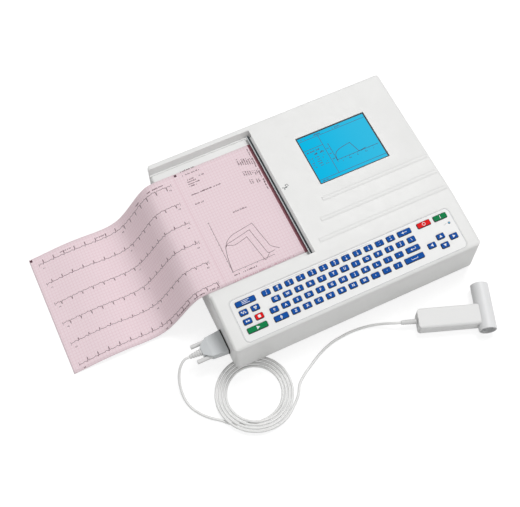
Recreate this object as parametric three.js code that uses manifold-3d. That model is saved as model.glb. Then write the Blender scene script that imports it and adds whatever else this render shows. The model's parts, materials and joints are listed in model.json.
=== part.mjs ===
// Desktop electrocardiograph with keyboard, screen and thermal chart recorder, and a breathing-flow
// handset on a coiled lead. Millimetres. X to the right, Y to the back, Z up from the table.
// Every piece is placed from the case's own corner: x = 0 at its middle, y = 0 at its front face,
// z = 0 at the table. The whole group is moved at the end, so that its origin is under its middle.
import * as THREE from "three";
import { mergeVertices } from "three/addons/utils/BufferGeometryUtils.js";
import Module from "manifold-3d";

const wasm = await Module();
wasm.setup();

// ---------- driving dimensions ----------
const GAP = 0.3; // between pieces that touch
const CASE_WIDTH = 400;
const CASE_DEPTH = 329;
const FOOT_HEIGHT = 9;
const PARTING_HEIGHT = 68.5; // joint line between tub and cover
const LID_HEIGHT = 90;
const DECK_SLOPE = THREE.MathUtils.degToRad(7);
const WALL = 2.5;
const TUB_WALL = 3;
const CORNER_RADIUS = 9;
const CROWN_RADIUS = 5;
const LID_EDGE_X = -31.5; // left edge of the fixed lid
const RAIL_DEPTH = 15.1; // rear rail, back face to drawer
const LEDGE_DEPTH = 0.6; // level edge between drawer and keyboard deck

const PAPER_WIDTH = 204;
const PAPER_FROM_FRONT = 9.4; // to the front wall of its well
const PAPER_THICKNESS = 0.5;
const PAGE_LENGTH = 280;
const WELL_CLEARANCE = 21.3; // well width over paper width
const DRAWER_TOP = 79.5;
const DRAWER_TRAVEL = 160;
const DRAWER_PLATE = 2.5;
const DRAWER_GAP = 0.4; // running gap at the drawer's sides
const RUNNER_HEIGHT = 58; // underside of the drawer's side runners
const RUNNER_END_X = 60;
const WELL_END_X = 92;

const PLATEN_DIAMETER = 16;
const SHAFT_DIAMETER = 6;
const BUSH_DIAMETER = 9;
const GEAR_MODULE = 0.9;
const PLATEN_TEETH = 16;
const PINION_TEETH = 10;
const GEAR_WIDTH = 4.5;
const MOTOR_DIAMETER = 24;
const MOTOR_LENGTH = 16;
const HEAD_PIVOT_X = 4;
const TEAR_BAR_WIDTH = 4;
const TEAR_BLADE = 1.3; // its upturned edge

const SCREEN_WIDTH = 118;
const SCREEN_HEIGHT = 89;
const SCREEN_FROM_RIGHT = 114.4; // to its middle, from the case's right side
const SCREEN_FROM_BACK = 99; // to its middle, from the case's back

const KEY_PITCH = 18.35;
const ROW_PITCH = 13.9;
const KEY_SIZE = [12.6, 8.5];
const KEY_RISE = 1.5; // above the deck
const KEY_TRAVEL = 1;
const KEY_CLEARANCE = 0.4;
const PANEL_WIDTH = 359.6;
const PANEL_FRONT = -84.2; // along the slope, from the deck's back edge
const PANEL_BACK = -16;
const FIRST_ROW = -26.4; // middle of the back row of keys, along the slope
const FIRST_KEY_X = -123.2;
const LEFT_CLUSTER_X = -155.8;
const RIGHT_CLUSTER_X = 148;

const SOCKET_Y = 38.8;
const SOCKET_Z = 32;
const PLUG_WIDTH = 35;
const PLUG_THICKNESS = 15;
const PLUG_LENGTH = 36;
const BOOT_LENGTH = 20;
const SCREW_SPACING = 25;
const CORD_DIAMETER = 4;
const COIL_CENTRE = [-190, -42];
const COIL_INNER_RADIUS = 36;
const COIL_OUTER_RADIUS = 61.3;
const COIL_HEIGHT = 8.2;

const REAR_Z = 36; // height of the rear connectors
const INLET_X = 150;
const PATIENT_X = -120;
const EARTH_STUD_X = 112;
const INLET_SIZE = [27, 20];
const PATIENT_SIZE = [26, 11];

const HANDSET_PLACE = [74.5, -47.3];
const HANDSET_TURN = THREE.MathUtils.degToRad(-19.9);
const HANDSET_LENGTH = 98;
const HANDSET_WIDTH = 33;
const HANDSET_HEIGHT = 24;
const HANDSET_WALL = 2;
const HANDSET_BOOT = 24;
const HANDSET_ROUND = 4.5; // on the handle's long edges
const TUBE_DIAMETER = 27;
const TUBE_BORE = 23;
const TUBE_LENGTH = 74;
const TUBE_AXIS_X = 102; // along the handle, from its cord end
const TUBE_LOW_END = -25;

// ---------- worked out from them ----------
const halfWidth = CASE_WIDTH / 2;
const wellBack = CASE_DEPTH - RAIL_DEPTH;
const wellFront = wellBack - PAPER_WIDTH - WELL_CLEARANCE;
const deckDepth = wellFront - LEDGE_DEPTH;
const deckRise = (y) => LID_HEIGHT - (deckDepth - y) * Math.tan(DECK_SLOPE);
const paperFront = wellFront + PAPER_FROM_FRONT;
const paperBack = paperFront + PAPER_WIDTH;
const paperBottom = DRAWER_TOP + GAP;
const paperTop = paperBottom + PAPER_THICKNESS;
const screenX = halfWidth - SCREEN_FROM_RIGHT;
const screenY = CASE_DEPTH - SCREEN_FROM_BACK;
const platenX = LID_EDGE_X + 9.5;
const platenZ = DRAWER_TOP - PLATEN_DIAMETER / 2;
const headBottom = paperTop + GAP;
const lidUnderside = LID_HEIGHT - WALL;
const tubFloor = FOOT_HEIGHT + TUB_WALL;
const tubTop = PARTING_HEIGHT - GAP;
const pinionX = platenX + (GEAR_MODULE * (PLATEN_TEETH + PINION_TEETH)) / 2 + 0.15;
const gearFront = wellFront + 4.4;
const gearBack = gearFront + GEAR_WIDTH;
const capTop = KEY_RISE;
const panelMiddle = (PANEL_FRONT + PANEL_BACK) / 2;
const panelHeight = PANEL_BACK - PANEL_FRONT;
const boardTop = -4.7; // keyboard board, below the deck
const tubeCentreZ = TUBE_DIAMETER / 2 + GAP;
const cordTableZ = CORD_DIAMETER / 2 + 0.4;

// ---------- solids ----------
// A closed geometry as a manifold solid.
function solid(geometry) {
  const bare = geometry.index ? geometry.toNonIndexed() : geometry.clone();
  bare.deleteAttribute("normal");
  bare.deleteAttribute("uv");
  const merged = mergeVertices(bare, 1e-4);
  const mesh = new wasm.Mesh({
    numProp: 3,
    vertProperties: merged.attributes.position.array,
    triVerts: new Uint32Array(merged.index.array),
  });
  return new wasm.Manifold(mesh);
}

// The geometry of a manifold solid.
function geometryOf(body) {
  const mesh = body.getMesh();
  const geometry = new THREE.BufferGeometry();
  geometry.setAttribute("position", new THREE.BufferAttribute(mesh.vertProperties, 3));
  geometry.setIndex(new THREE.BufferAttribute(mesh.triVerts, 1));
  const flat = geometry.toNonIndexed();
  flat.computeVertexNormals();
  return flat;
}

const join = (first, ...others) => others.reduce((sum, other) => sum.add(other), first);
const cut = (first, ...others) => others.reduce((rest, other) => rest.subtract(other), first);

// A box between two corners.
function block(x0, x1, y0, y1, z0, z1) {
  const geometry = new THREE.BoxGeometry(x1 - x0, y1 - y0, z1 - z0);
  return solid(geometry.translate((x0 + x1) / 2, (y0 + y1) / 2, (z0 + z1) / 2));
}

function shapeOf(points) {
  return new THREE.Shape(points.map(([a, b]) => new THREE.Vector2(a, b)));
}

// A rectangle about (cx, cy) with round corners.
function roundedShape(cx, cy, width, height, radius) {
  const shape = new THREE.Shape();
  const [x0, x1] = [cx - width / 2, cx + width / 2];
  const [y0, y1] = [cy - height / 2, cy + height / 2];
  shape.moveTo(x0 + radius, y0);
  shape.lineTo(x1 - radius, y0);
  shape.absarc(x1 - radius, y0 + radius, radius, -Math.PI / 2, 0, false);
  shape.lineTo(x1, y1 - radius);
  shape.absarc(x1 - radius, y1 - radius, radius, 0, Math.PI / 2, false);
  shape.lineTo(x0 + radius, y1);
  shape.absarc(x0 + radius, y1 - radius, radius, Math.PI / 2, Math.PI, false);
  shape.lineTo(x0, y0 + radius);
  shape.absarc(x0 + radius, y0 + radius, radius, Math.PI, 1.5 * Math.PI, false);
  return shape;
}

// A shape drawn in X and Y, standing from z0 to z1.
function upright(shape, z0, z1, curveSegments = 3) {
  const options = { depth: z1 - z0, bevelEnabled: false, curveSegments };
  return solid(new THREE.ExtrudeGeometry(shape, options).translate(0, 0, z0));
}

// A shape drawn in Y and Z, carried from x0 to x1.
function alongX(shape, x0, x1, curveSegments = 5) {
  const options = { depth: x1 - x0, bevelEnabled: false, curveSegments };
  const turn = new THREE.Matrix4().makeBasis(
    new THREE.Vector3(0, 1, 0),
    new THREE.Vector3(0, 0, 1),
    new THREE.Vector3(1, 0, 0),
  );
  return solid(new THREE.ExtrudeGeometry(shape, options).applyMatrix4(turn).translate(x0, 0, 0));
}

// A shape drawn in X and Z, carried from y0 to y1.
function alongY(shape, y0, y1, curveSegments = 5) {
  const options = { depth: y1 - y0, bevelEnabled: false, curveSegments };
  const geometry = new THREE.ExtrudeGeometry(shape, options).rotateX(Math.PI / 2);
  return solid(geometry.translate(0, y1, 0));
}

// A turned solid: [radius, height] pairs from the axis round to the axis, along "x", "y" or "z".
function turned(pairs, axis, sides = 16) {
  const points = pairs.map(([r, h]) => new THREE.Vector2(r, h));
  const geometry = new THREE.LatheGeometry(points, sides);
  if (axis === "z") geometry.rotateX(Math.PI / 2);
  if (axis === "x") geometry.rotateZ(-Math.PI / 2);
  return geometry;
}

// A plain cylinder between two places along an axis, through (a, b) in the plane across it.
function rod(axis, radius, from, to, a, b, sides = 16) {
  const profile = [[0, from], [radius, from], [radius, to], [0, to]];
  const geometry = turned(profile, axis, sides);
  if (axis === "x") geometry.translate(0, a, b);
  if (axis === "y") geometry.translate(a, 0, b);
  if (axis === "z") geometry.translate(a, b, 0);
  return solid(geometry);
}

// Moves a solid that is drawn on the keyboard deck (x, along the slope, above it) into the case.
function onDeck(body) {
  const place = new THREE.Matrix4().makeRotationX(DECK_SLOPE);
  place.setPosition(0, deckDepth, LID_HEIGHT);
  return solid(geometryOf(body).applyMatrix4(place));
}

// ---------- materials ----------
const finish = (color, roughness, metalness = 0) => ({ color, roughness, metalness });
const FINISHES = {
  casing: finish(0xe9e9e7, 0.5),
  keyBlue: finish(0x0054a6, 0.55),
  keyRed: finish(0xe61414, 0.55),
  keyGreen: finish(0x008246, 0.55),
  overlay: finish(0xf2f2f0, 0.45),
  screenGlass: finish(0x1fb4e6, 0.15),
  darkPlastic: finish(0x1c1d20, 0.5),
  board: finish(0x1f6b3a, 0.6),
  steel: finish(0xb8bcc0, 0.35, 0.9),
  aluminium: finish(0xc7c9cc, 0.4, 0.9),
  rubber: finish(0x26272a, 0.8),
  gearPlastic: finish(0xe8e2d0, 0.5),
  ceramic: finish(0xd9dde0, 0.25),
  paper: finish(0xf3dbe0, 0.85),
  cord: finish(0xe6e6e4, 0.5),
  brass: finish(0xc9a552, 0.35, 0.9),
  lamp: finish(0x2a6f8a, 0.2),
};

const machine = new THREE.Group();
const deck = new THREE.Group();
deck.position.set(0, deckDepth, LID_HEIGHT);
deck.rotation.x = DECK_SLOPE;
machine.add(deck);
const handset = new THREE.Group();
handset.position.set(HANDSET_PLACE[0], HANDSET_PLACE[1], 0);
handset.rotation.z = HANDSET_TURN;
machine.add(handset);

function addPiece(name, geometry, finishName, parent = machine) {
  const material = new THREE.MeshStandardMaterial(FINISHES[finishName]);
  const mesh = new THREE.Mesh(geometry, material);
  mesh.name = name;
  parent.add(mesh);
  return mesh;
}
const addSolid = (name, body, finishName, parent) =>
  addPiece(name, geometryOf(body), finishName, parent);

// ---------- casing ----------
// The outside of the case seen from above: a rectangle with round corners.
function casePlan(z0, z1, inset = 0) {
  const width = CASE_WIDTH - 2 * inset;
  const depth = CASE_DEPTH - 2 * inset;
  return upright(roundedShape(0, CASE_DEPTH / 2, width, depth, CORNER_RADIUS - inset), z0, z1, 5);
}

// The side view of the cover: front wall, rolled crown, sloping keyboard deck, level lid, back edge.
function coverSideView() {
  const shape = new THREE.Shape();
  const frontTop = deckRise(0);
  const radius = Math.min(CROWN_RADIUS, frontTop - PARTING_HEIGHT);
  shape.moveTo(0, PARTING_HEIGHT);
  shape.lineTo(CASE_DEPTH, PARTING_HEIGHT);
  shape.lineTo(CASE_DEPTH, LID_HEIGHT - 4);
  shape.absarc(CASE_DEPTH - 4, LID_HEIGHT - 4, 4, 0, Math.PI / 2, false);
  shape.lineTo(deckDepth, LID_HEIGHT);
  const along = radius * Math.tan(Math.PI / 4 - DECK_SLOPE / 2);
  const middle = frontTop + along * Math.sin(DECK_SLOPE) - radius * Math.cos(DECK_SLOPE);
  const start = Math.PI / 2 + DECK_SLOPE;
  shape.absarc(radius, middle, radius, start, Math.PI, false);
  return shape;
}

// A cross-section with both upper edges rounded, from below up to the height top.
function roundedTop(top, bottom, radius, inset = 0) {
  const half = halfWidth - inset;
  const shape = new THREE.Shape();
  shape.moveTo(-half, bottom);
  shape.lineTo(half, bottom);
  shape.lineTo(half, top - radius);
  shape.absarc(half - radius, top - radius, radius, 0, Math.PI / 2, false);
  shape.lineTo(-half + radius, top);
  shape.absarc(-half + radius, top - radius, radius, Math.PI / 2, Math.PI, false);
  return shape;
}

function coverOutside() {
  const lidBlock = alongY(roundedTop(LID_HEIGHT, PARTING_HEIGHT, 5), deckDepth, CASE_DEPTH);
  const slopeLength = deckDepth / Math.cos(DECK_SLOPE) + 8;
  const deckBlock = onDeck(alongY(roundedTop(0, -40, 5), -slopeLength, 0.5));
  const front = block(-halfWidth, halfWidth, 0, deckDepth, PARTING_HEIGHT, LID_HEIGHT);
  const raised = join(deckBlock.intersect(front), lidBlock);
  return raised.intersect(alongX(coverSideView(), -halfWidth, halfWidth)).intersect(
    casePlan(PARTING_HEIGHT, LID_HEIGHT + 1),
  );
}

// Three low rounded bars across the lid, running out over its right edge.
function lidBars() {
  return [0, 1, 2].map((i) => {
    const y = deckDepth + 14 + 30 * i;
    const left = -17.5 + 17.5 * i;
    const bar = rod("x", 7.6, left, halfWidth - 5, y, LID_HEIGHT - 6.5, 24);
    const clip = block(left, halfWidth, y - 4.5, y + 4.5, LID_HEIGHT - WALL / 2, LID_HEIGHT + 1.1);
    return bar.intersect(clip);
  });
}

function topCover() {
  const low = PARTING_HEIGHT - 1;
  const inner = halfWidth - TUB_WALL;
  const deckUnder = (y) => Math.min(deckRise(y) - WALL / Math.cos(DECK_SLOPE), lidUnderside);
  const ledgeWall = wellFront - TUB_WALL;
  const crease = Math.min(deckDepth, ledgeWall - 1);
  const deckHollow = alongX(
    shapeOf([
      [TUB_WALL, low],
      [ledgeWall, low],
      [ledgeWall, deckUnder(ledgeWall)],
      [crease, deckUnder(crease)],
      [TUB_WALL, deckUnder(TUB_WALL)],
    ]),
    -inner,
    inner,
  );
  const lidLeft = LID_EDGE_X + WALL;
  const lidHollow = block(lidLeft, inner, ledgeWall - 1, CASE_DEPTH - TUB_WALL, low, lidUnderside);
  const railBack = CASE_DEPTH - TUB_WALL;
  const railHollow = alongX(
    shapeOf([
      [wellBack + WALL, low],
      [railBack, low],
      [railBack, lidUnderside],
      [wellBack + 8.6, lidUnderside],
      [wellBack + 5, DRAWER_TOP - 1],
      [wellBack + WALL, DRAWER_TOP - 2.5],
    ]),
    -inner,
    lidLeft + 1,
  );
  // The drawer's bay: open above, slanted at the lid's edge, and open under it for the paper.
  const mouthTop = paperTop + 4.3;
  const bay = alongY(
    shapeOf([
      [-halfWidth - 1, low],
      [lidLeft + 1, low],
      [lidLeft + 1, mouthTop],
      [LID_EDGE_X - 3, mouthTop],
      [LID_EDGE_X - 3, mouthTop + 1.4],
      [LID_EDGE_X, LID_HEIGHT],
      [LID_EDGE_X, LID_HEIGHT + 5],
      [-halfWidth - 1, LID_HEIGHT + 5],
    ]),
    wellFront,
    wellBack,
  );
  // The rear rail's inner face leans back above the drawer.
  const railSlope = alongX(
    shapeOf([
      [wellBack - 5, DRAWER_TOP + 0.4],
      [wellBack + 2.2, DRAWER_TOP + 0.4],
      [wellBack + 6.4, LID_HEIGHT + 0.2],
      [wellBack + 6.4, LID_HEIGHT + 5],
      [wellBack - 5, LID_HEIGHT + 5],
    ]),
    -halfWidth - 1,
    LID_EDGE_X,
  );
  const screenHole = upright(
    roundedShape(screenX, screenY, SCREEN_WIDTH, SCREEN_HEIGHT, 1),
    lidUnderside - 1, LID_HEIGHT + 1, 1,
  );
  const pocket = onDeck(
    upright(roundedShape(0, panelMiddle, PANEL_WIDTH, panelHeight, 8), -1.6, 3, 4),
  );
  const rim = 7;
  const window = onDeck(
    upright(roundedShape(0, panelMiddle, PANEL_WIDTH - rim, panelHeight - rim, 5), -9, 3, 3),
  );
  const shell = join(coverOutside(), ...lidBars());
  return cut(shell, deckHollow, lidHollow, railHollow, bay, railSlope, screenHole, pocket, window);
}

function baseShell() {
  const outside = casePlan(FOOT_HEIGHT, tubTop);
  const hollow = casePlan(tubFloor, tubTop + 1, TUB_WALL);
  const inner = halfWidth - TUB_WALL;
  const wallTop = tubTop - 2;
  const trackTop = RUNNER_HEIGHT - GAP;
  const walls = [
    block(-inner - 1, WELL_END_X + TUB_WALL, wellFront - TUB_WALL, wellFront, tubFloor - 1, wallTop),
    block(-inner - 1, WELL_END_X + TUB_WALL, wellBack, wellBack + TUB_WALL, tubFloor - 1, wallTop),
    block(WELL_END_X, WELL_END_X + TUB_WALL, wellFront - 1, wellBack + 1, tubFloor - 1, 45),
  ];
  const tracks = [
    block(-inner - 1, WELL_END_X + 1, wellFront - 1, wellFront + 3.5, trackTop - 4, trackTop),
    block(-inner - 1, WELL_END_X + 1, wellBack - 3.5, wellBack + 1, trackTop - 4, trackTop),
  ];
  const posts = boardPosts().map(([x, y]) => rod("z", 4, tubFloor - 1, tubFloor + 8, x, y, 12));
  const drawerMouth = block(
    -halfWidth - 1, -inner + 0.5, wellFront, wellBack, trackTop, tubTop + 1,
  );
  const socketHole = block(
    -halfWidth - 1, -inner + 1, SOCKET_Y - 9.5, SOCKET_Y + 9.5, SOCKET_Z - 5.5, SOCKET_Z + 5.5,
  );
  const rearHoles = rearParts().map(([x, z, width, height]) =>
    block(
      x - width / 2, x + width / 2, CASE_DEPTH - TUB_WALL - 1, CASE_DEPTH + 1,
      z - height / 2, z + height / 2,
    ),
  );
  const studHole = rod("y", 3.3, CASE_DEPTH - 5, CASE_DEPTH + 1, EARTH_STUD_X, REAR_Z, 16);
  const screwHoles = [-1, 1].map((side) =>
    rod("x", 2.7, -halfWidth - 1, -inner + 1, SOCKET_Y + (side * SCREW_SPACING) / 2, SOCKET_Z, 12),
  );
  const tub = join(cut(outside, hollow), ...walls, ...tracks, ...posts);
  return cut(tub, drawerMouth, socketHole, ...rearHoles, studHole, ...screwHoles);
}

// ---------- rear connectors ----------
// Each hole in the rear wall as x, z, width and height.
function rearParts() {
  return [
    [INLET_X, REAR_Z, INLET_SIZE[0] + 2 * GAP, INLET_SIZE[1] + 2 * GAP],
    [PATIENT_X, REAR_Z, PATIENT_SIZE[0] + 2 * GAP, PATIENT_SIZE[1] + 2 * GAP],
  ];
}

function mainsInlet() {
  const [w, h] = INLET_SIZE;
  const flange = alongY(
    roundedShape(INLET_X, REAR_Z, w + 8, h + 5, 2), CASE_DEPTH + GAP, CASE_DEPTH + 3, 2,
  );
  const barrel = block(
    INLET_X - w / 2, INLET_X + w / 2, CASE_DEPTH - 18, CASE_DEPTH + 1,
    REAR_Z - h / 2, REAR_Z + h / 2,
  );
  const cavity = block(
    INLET_X - w / 2 + 1.5, INLET_X + w / 2 - 1.5, CASE_DEPTH - 14, CASE_DEPTH + 4,
    REAR_Z - h / 2 + 1.5, REAR_Z + h / 2 - 1.5,
  );
  const pins = [[-7, 1.5], [0, -2.5], [7, 1.5]].map(([dx, dz]) =>
    block(
      INLET_X + dx - 1, INLET_X + dx + 1, CASE_DEPTH - 15, CASE_DEPTH - 1,
      REAR_Z + dz - 2, REAR_Z + dz + 2,
    ),
  );
  return join(cut(join(flange, barrel), cavity), ...pins);
}

function patientSocket() {
  const [w, h] = PATIENT_SIZE;
  const flange = alongY(
    roundedShape(PATIENT_X, REAR_Z, w + 13, h + 3, 2), CASE_DEPTH + GAP, CASE_DEPTH + 1.5, 2,
  );
  const body = block(
    PATIENT_X - w / 2, PATIENT_X + w / 2, CASE_DEPTH - 11, CASE_DEPTH + 1,
    REAR_Z - h / 2, REAR_Z + h / 2,
  );
  const nose = alongY(
    roundedShape(PATIENT_X, REAR_Z, w - 1, h - 2, 2), CASE_DEPTH, CASE_DEPTH + 6, 2,
  );
  const nuts = [-1, 1].map((side) =>
    rod("y", 2.4, CASE_DEPTH + 1, CASE_DEPTH + 6, PATIENT_X + side * (w / 2 + 3.7), REAR_Z, 6),
  );
  return join(flange, body, nose, ...nuts);
}

function earthStud() {
  const profile = [
    [0, CASE_DEPTH - 7], [5.5, CASE_DEPTH - 7], [5.5, CASE_DEPTH - TUB_WALL - GAP],
    [3, CASE_DEPTH - TUB_WALL - GAP], [3, CASE_DEPTH + GAP], [5.5, CASE_DEPTH + GAP],
    [5.5, CASE_DEPTH + 4], [3, CASE_DEPTH + 4], [3, CASE_DEPTH + 11], [0, CASE_DEPTH + 11],
  ];
  return turned(profile, "y", 16).translate(EARTH_STUD_X, 0, REAR_Z);
}

// ---------- keyboard ----------
const rowAt = (row) => FIRST_ROW - row * ROW_PITCH;
const capWidth = (units) => KEY_SIZE[0] + (units - 1) * KEY_PITCH;

// The letter field: each key as [x, along the slope, width in key units].
function matKeys() {
  const keys = [];
  const addRun = (row, first, count) => {
    for (let i = 0; i < count; i++) {
      keys.push([FIRST_KEY_X + (first + i) * KEY_PITCH, rowAt(row), 1]);
    }
  };
  addRun(0, 0, 12);
  keys.push([FIRST_KEY_X + 12.25 * KEY_PITCH, rowAt(0), 1.5]);
  addRun(1, 0.5, 13);
  addRun(2, 0, 12);
  keys.push([FIRST_KEY_X + 12.25 * KEY_PITCH, rowAt(2), 1.5]);
  keys.push([FIRST_KEY_X + 0.25 * KEY_PITCH, rowAt(3), 1.5]);
  addRun(3, 1.5, 10);
  keys.push([FIRST_KEY_X + 12 * KEY_PITCH, rowAt(3), 2]);
  return keys;
}

// The twelve recorder and arrow keys: name, x, along the slope, width in key units and finish.
function functionKeys() {
  const half = KEY_PITCH / 2;
  const [l, r] = [LEFT_CLUSTER_X, RIGHT_CLUSTER_X];
  const arrowRow = rowAt(2.5);
  return [
    ["key_print_mode", l, rowAt(0), 2, "keyBlue"],
    ["key_filter", l - half, rowAt(1), 1, "keyBlue"],
    ["key_leads", l + half, rowAt(1), 1, "keyBlue"],
    ["key_speed", l - half, rowAt(2), 1, "keyBlue"],
    ["key_stop", l + half, rowAt(2), 1, "keyRed"],
    ["key_start", l, rowAt(3), 2, "keyGreen"],
    ["key_off", r - 0.75 * KEY_PITCH, rowAt(0), 1.5, "keyRed"],
    ["key_on", r + 0.75 * KEY_PITCH, rowAt(0), 1.5, "keyGreen"],
    ["key_up", r, arrowRow + 7.4, 1, "keyBlue"],
    ["key_left", r - KEY_PITCH, arrowRow, 1, "keyBlue"],
    ["key_right", r + KEY_PITCH, arrowRow, 1, "keyBlue"],
    ["key_down", r, arrowRow - 7.4, 1, "keyBlue"],
  ];
}
const LAMP_X = RIGHT_CLUSTER_X + 22.4;
const lampRow = FIRST_ROW - 13.2;

// A rectangle with its corners cut off, about (cx, cy).
function cutCornerShape(cx, cy, width, height, corner) {
  const [a, b] = [width / 2, height / 2];
  return shapeOf([
    [cx - a + corner, cy - b], [cx + a - corner, cy - b], [cx + a, cy - b + corner],
    [cx + a, cy + b - corner], [cx + a - corner, cy + b], [cx - a + corner, cy + b],
    [cx - a, cy + b - corner], [cx - a, cy - b + corner],
  ]);
}

function keyCap(x, v, units, from) {
  return upright(cutCornerShape(x, v, capWidth(units), KEY_SIZE[1], 1.2), from, capTop);
}

// The white keyboard panel: one plate with a hole for every key and for the lamp.
function keyboardOverlay() {
  const width = PANEL_WIDTH - 2 * GAP;
  const height = panelHeight - 2 * GAP;
  const outline = roundedShape(0, panelMiddle, width, height, 8 - GAP);
  const grow = 2 * KEY_CLEARANCE;
  const allKeys = [...matKeys(), ...functionKeys().map(([, x, v, units]) => [x, v, units])];
  for (const [x, v, units] of allKeys) {
    const [w, h] = [capWidth(units) + grow, KEY_SIZE[1] + grow];
    outline.holes.push(cutCornerShape(x, v, w, h, 1.4));
  }
  outline.holes.push(cutCornerShape(LAMP_X, lampRow, 4, 4, 1.2));
  return upright(outline, -1.3, -0.1, 4);
}

// The silicone mat that carries the letter keys.
function keyMat() {
  const keys = matKeys();
  const left = FIRST_KEY_X - capWidth(1) / 2 - 1.5;
  const right = FIRST_KEY_X + 12.5 * KEY_PITCH + capWidth(1) / 2 + 1.5;
  const web = block(left, right, rowAt(3) - 7, rowAt(0) + 6, -4.4, -3.2);
  return join(web, ...keys.map(([x, v, units]) => keyCap(x, v, units, -3.8)));
}

function functionKey(x, v, units) {
  const width = capWidth(units) + 2.4;
  const depth = KEY_SIZE[1] + 2;
  const flange = block(x - width / 2, x + width / 2, v - depth / 2, v + depth / 2, -3, -2);
  return join(keyCap(x, v, units, -2.5), flange);
}

function keyboardBoard() {
  const half = PANEL_WIDTH / 2 - 6;
  return block(-half, half, rowAt(3) - 8, rowAt(0) + 6.5, boardTop - 1.6, boardTop);
}

function powerLamp() {
  const profile = [[0, boardTop + GAP], [1.6, boardTop + GAP], [1.6, 0.1], [1.2, 0.5], [0, 0.6]];
  return turned(profile, "z", 12).translate(LAMP_X, lampRow, 0);
}

// ---------- screen ----------
function screenWindow() {
  const [width, height] = [SCREEN_WIDTH - 2 * GAP, SCREEN_HEIGHT - 2 * GAP];
  const outline = roundedShape(screenX, screenY, width, height, 0.7);
  return upright(outline, LID_HEIGHT - 2.5, LID_HEIGHT - 1.2, 1);
}

function screenModule() {
  const [a, b] = [SCREEN_WIDTH / 2 + 12, SCREEN_HEIGHT / 2 + 7];
  return block(
    screenX - a, screenX + a, screenY - b, screenY + b, lidUnderside - 10, lidUnderside - GAP,
  );
}

// ---------- inside the tub ----------
const BOARD_LEFT = WELL_END_X + TUB_WALL + 5;
const BOARD_RIGHT = halfWidth - TUB_WALL - 4;
const BOARD_FRONT = wellFront;
const BOARD_BACK = wellFront + 150;

function boardPosts() {
  const xs = [BOARD_LEFT + 7, BOARD_RIGHT - 7];
  const ys = [BOARD_FRONT + 7, BOARD_BACK - 7];
  return xs.flatMap((x) => ys.map((y) => [x, y]));
}

function mainBoard() {
  const bottom = tubFloor + 8 + GAP;
  const plate = block(BOARD_LEFT, BOARD_RIGHT, BOARD_FRONT, BOARD_BACK, bottom, bottom + 1.6);
  const x = (BOARD_LEFT + BOARD_RIGHT) / 2;
  const chips = [
    block(x - 14, x + 14, BOARD_FRONT + 30, BOARD_FRONT + 58, bottom + 1, bottom + 5),
    block(x - 30, x - 10, BOARD_FRONT + 75, BOARD_FRONT + 110, bottom + 1, bottom + 8),
    block(x + 8, x + 34, BOARD_FRONT + 80, BOARD_FRONT + 95, bottom + 1, bottom + 4),
  ];
  return join(plate, ...chips);
}

function powerSupply() {
  const front = BOARD_BACK + 10;
  const back = CASE_DEPTH - 22;
  return block(BOARD_LEFT, BOARD_RIGHT, front, back, tubFloor + GAP, tubFloor + 38);
}

function batteryPack() {
  return block(30, 178, 12, wellFront - TUB_WALL - 12, tubFloor + GAP, tubFloor + 36);
}

// The motor stands in the front bay with its nose on the well's wall.
function feedMotor() {
  const nose = wellFront - TUB_WALL - GAP;
  const radius = MOTOR_DIAMETER / 2;
  const profile = [
    [3.4, nose - MOTOR_LENGTH], [radius, nose - MOTOR_LENGTH], [radius, nose], [3.4, nose],
  ];
  return turned([...profile, profile[0]], "y", 20).translate(pinionX, 0, platenZ);
}

// Sheet-metal bridge that carries the motor and the print head's pivot, stood on the well's walls.
function printBracket() {
  const bottom = tubTop - 2 + GAP;
  const top = lidUnderside - GAP;
  const front = wellFront - TUB_WALL + GAP;
  const back = wellBack + GAP;
  const left = HEAD_PIVOT_X - 5;
  const right = HEAD_PIVOT_X + 7;
  const plate = block(left, right, front, back + 2, top - 1.8, top);
  const frontLeg = block(pinionX - 14, right, front, front + 2, bottom, top);
  const backLeg = block(left, right, back, back + 2, bottom, top);
  const shaftHole = rod("y", 3.2, front - 1, front + 3, pinionX, platenZ, 16);
  const pivotHole = rod("y", 1.8, front - 1, back + 3, HEAD_PIVOT_X, headPivotZ, 12);
  return cut(join(plate, frontLeg, backLeg), shaftHole, pivotHole);
}

// ---------- print head ----------
const headPivotZ = headBottom + 2;
const headFront = paperFront + 2;
const headBack = paperBack - 2;

function headPivot() {
  const ends = [wellFront - TUB_WALL + GAP, wellBack + GAP + 2];
  return rod("y", 1.5, ...ends, HEAD_PIVOT_X, headPivotZ, 12);
}

function printHead() {
  const [left, right] = [platenX - 6, platenX + 11];
  return block(left, right, headFront, headBack, headBottom, headBottom + 1.2);
}

// The aluminium bar over the print head, with two lugs on the pivot.
function headBar() {
  const low = headBottom + 1.2 + GAP;
  const top = lidUnderside - 1.4;
  const bar = block(platenX - 5.5, HEAD_PIVOT_X - 6.5, headFront, headBack, low, top);
  const lugs = [headFront + 12, headBack - 16].map((y) => {
    const arm = block(HEAD_PIVOT_X - 8, HEAD_PIVOT_X, y, y + 4, headPivotZ - 2.4, headPivotZ + 2.4);
    const eye = rod("y", 2.4, y, y + 4, HEAD_PIVOT_X, headPivotZ, 12);
    return join(arm, eye);
  });
  const hole = rod("y", 1.8, headFront, headBack, HEAD_PIVOT_X, headPivotZ, 12);
  return cut(join(bar, ...lugs), hole);
}

// Thin plate along the lid's edge, turned up at its left side to the blade that tears the chart.
function tearBar() {
  const right = LID_EDGE_X - 3 - GAP;
  const left = right - TEAR_BAR_WIDTH;
  const low = paperTop + 4.3;
  const [front, back] = [wellFront + GAP, wellBack - GAP];
  const plate = block(left, right, front, back, low, low + 0.7);
  const blade = block(left, left + TEAR_BLADE, front, back, low, low + 1.6);
  return join(plate, blade);
}

// ---------- chart drawer ----------
const drawerFront = wellFront + DRAWER_GAP;
const drawerBack = wellBack - DRAWER_GAP;
const sideThickness = 2.5;

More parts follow.
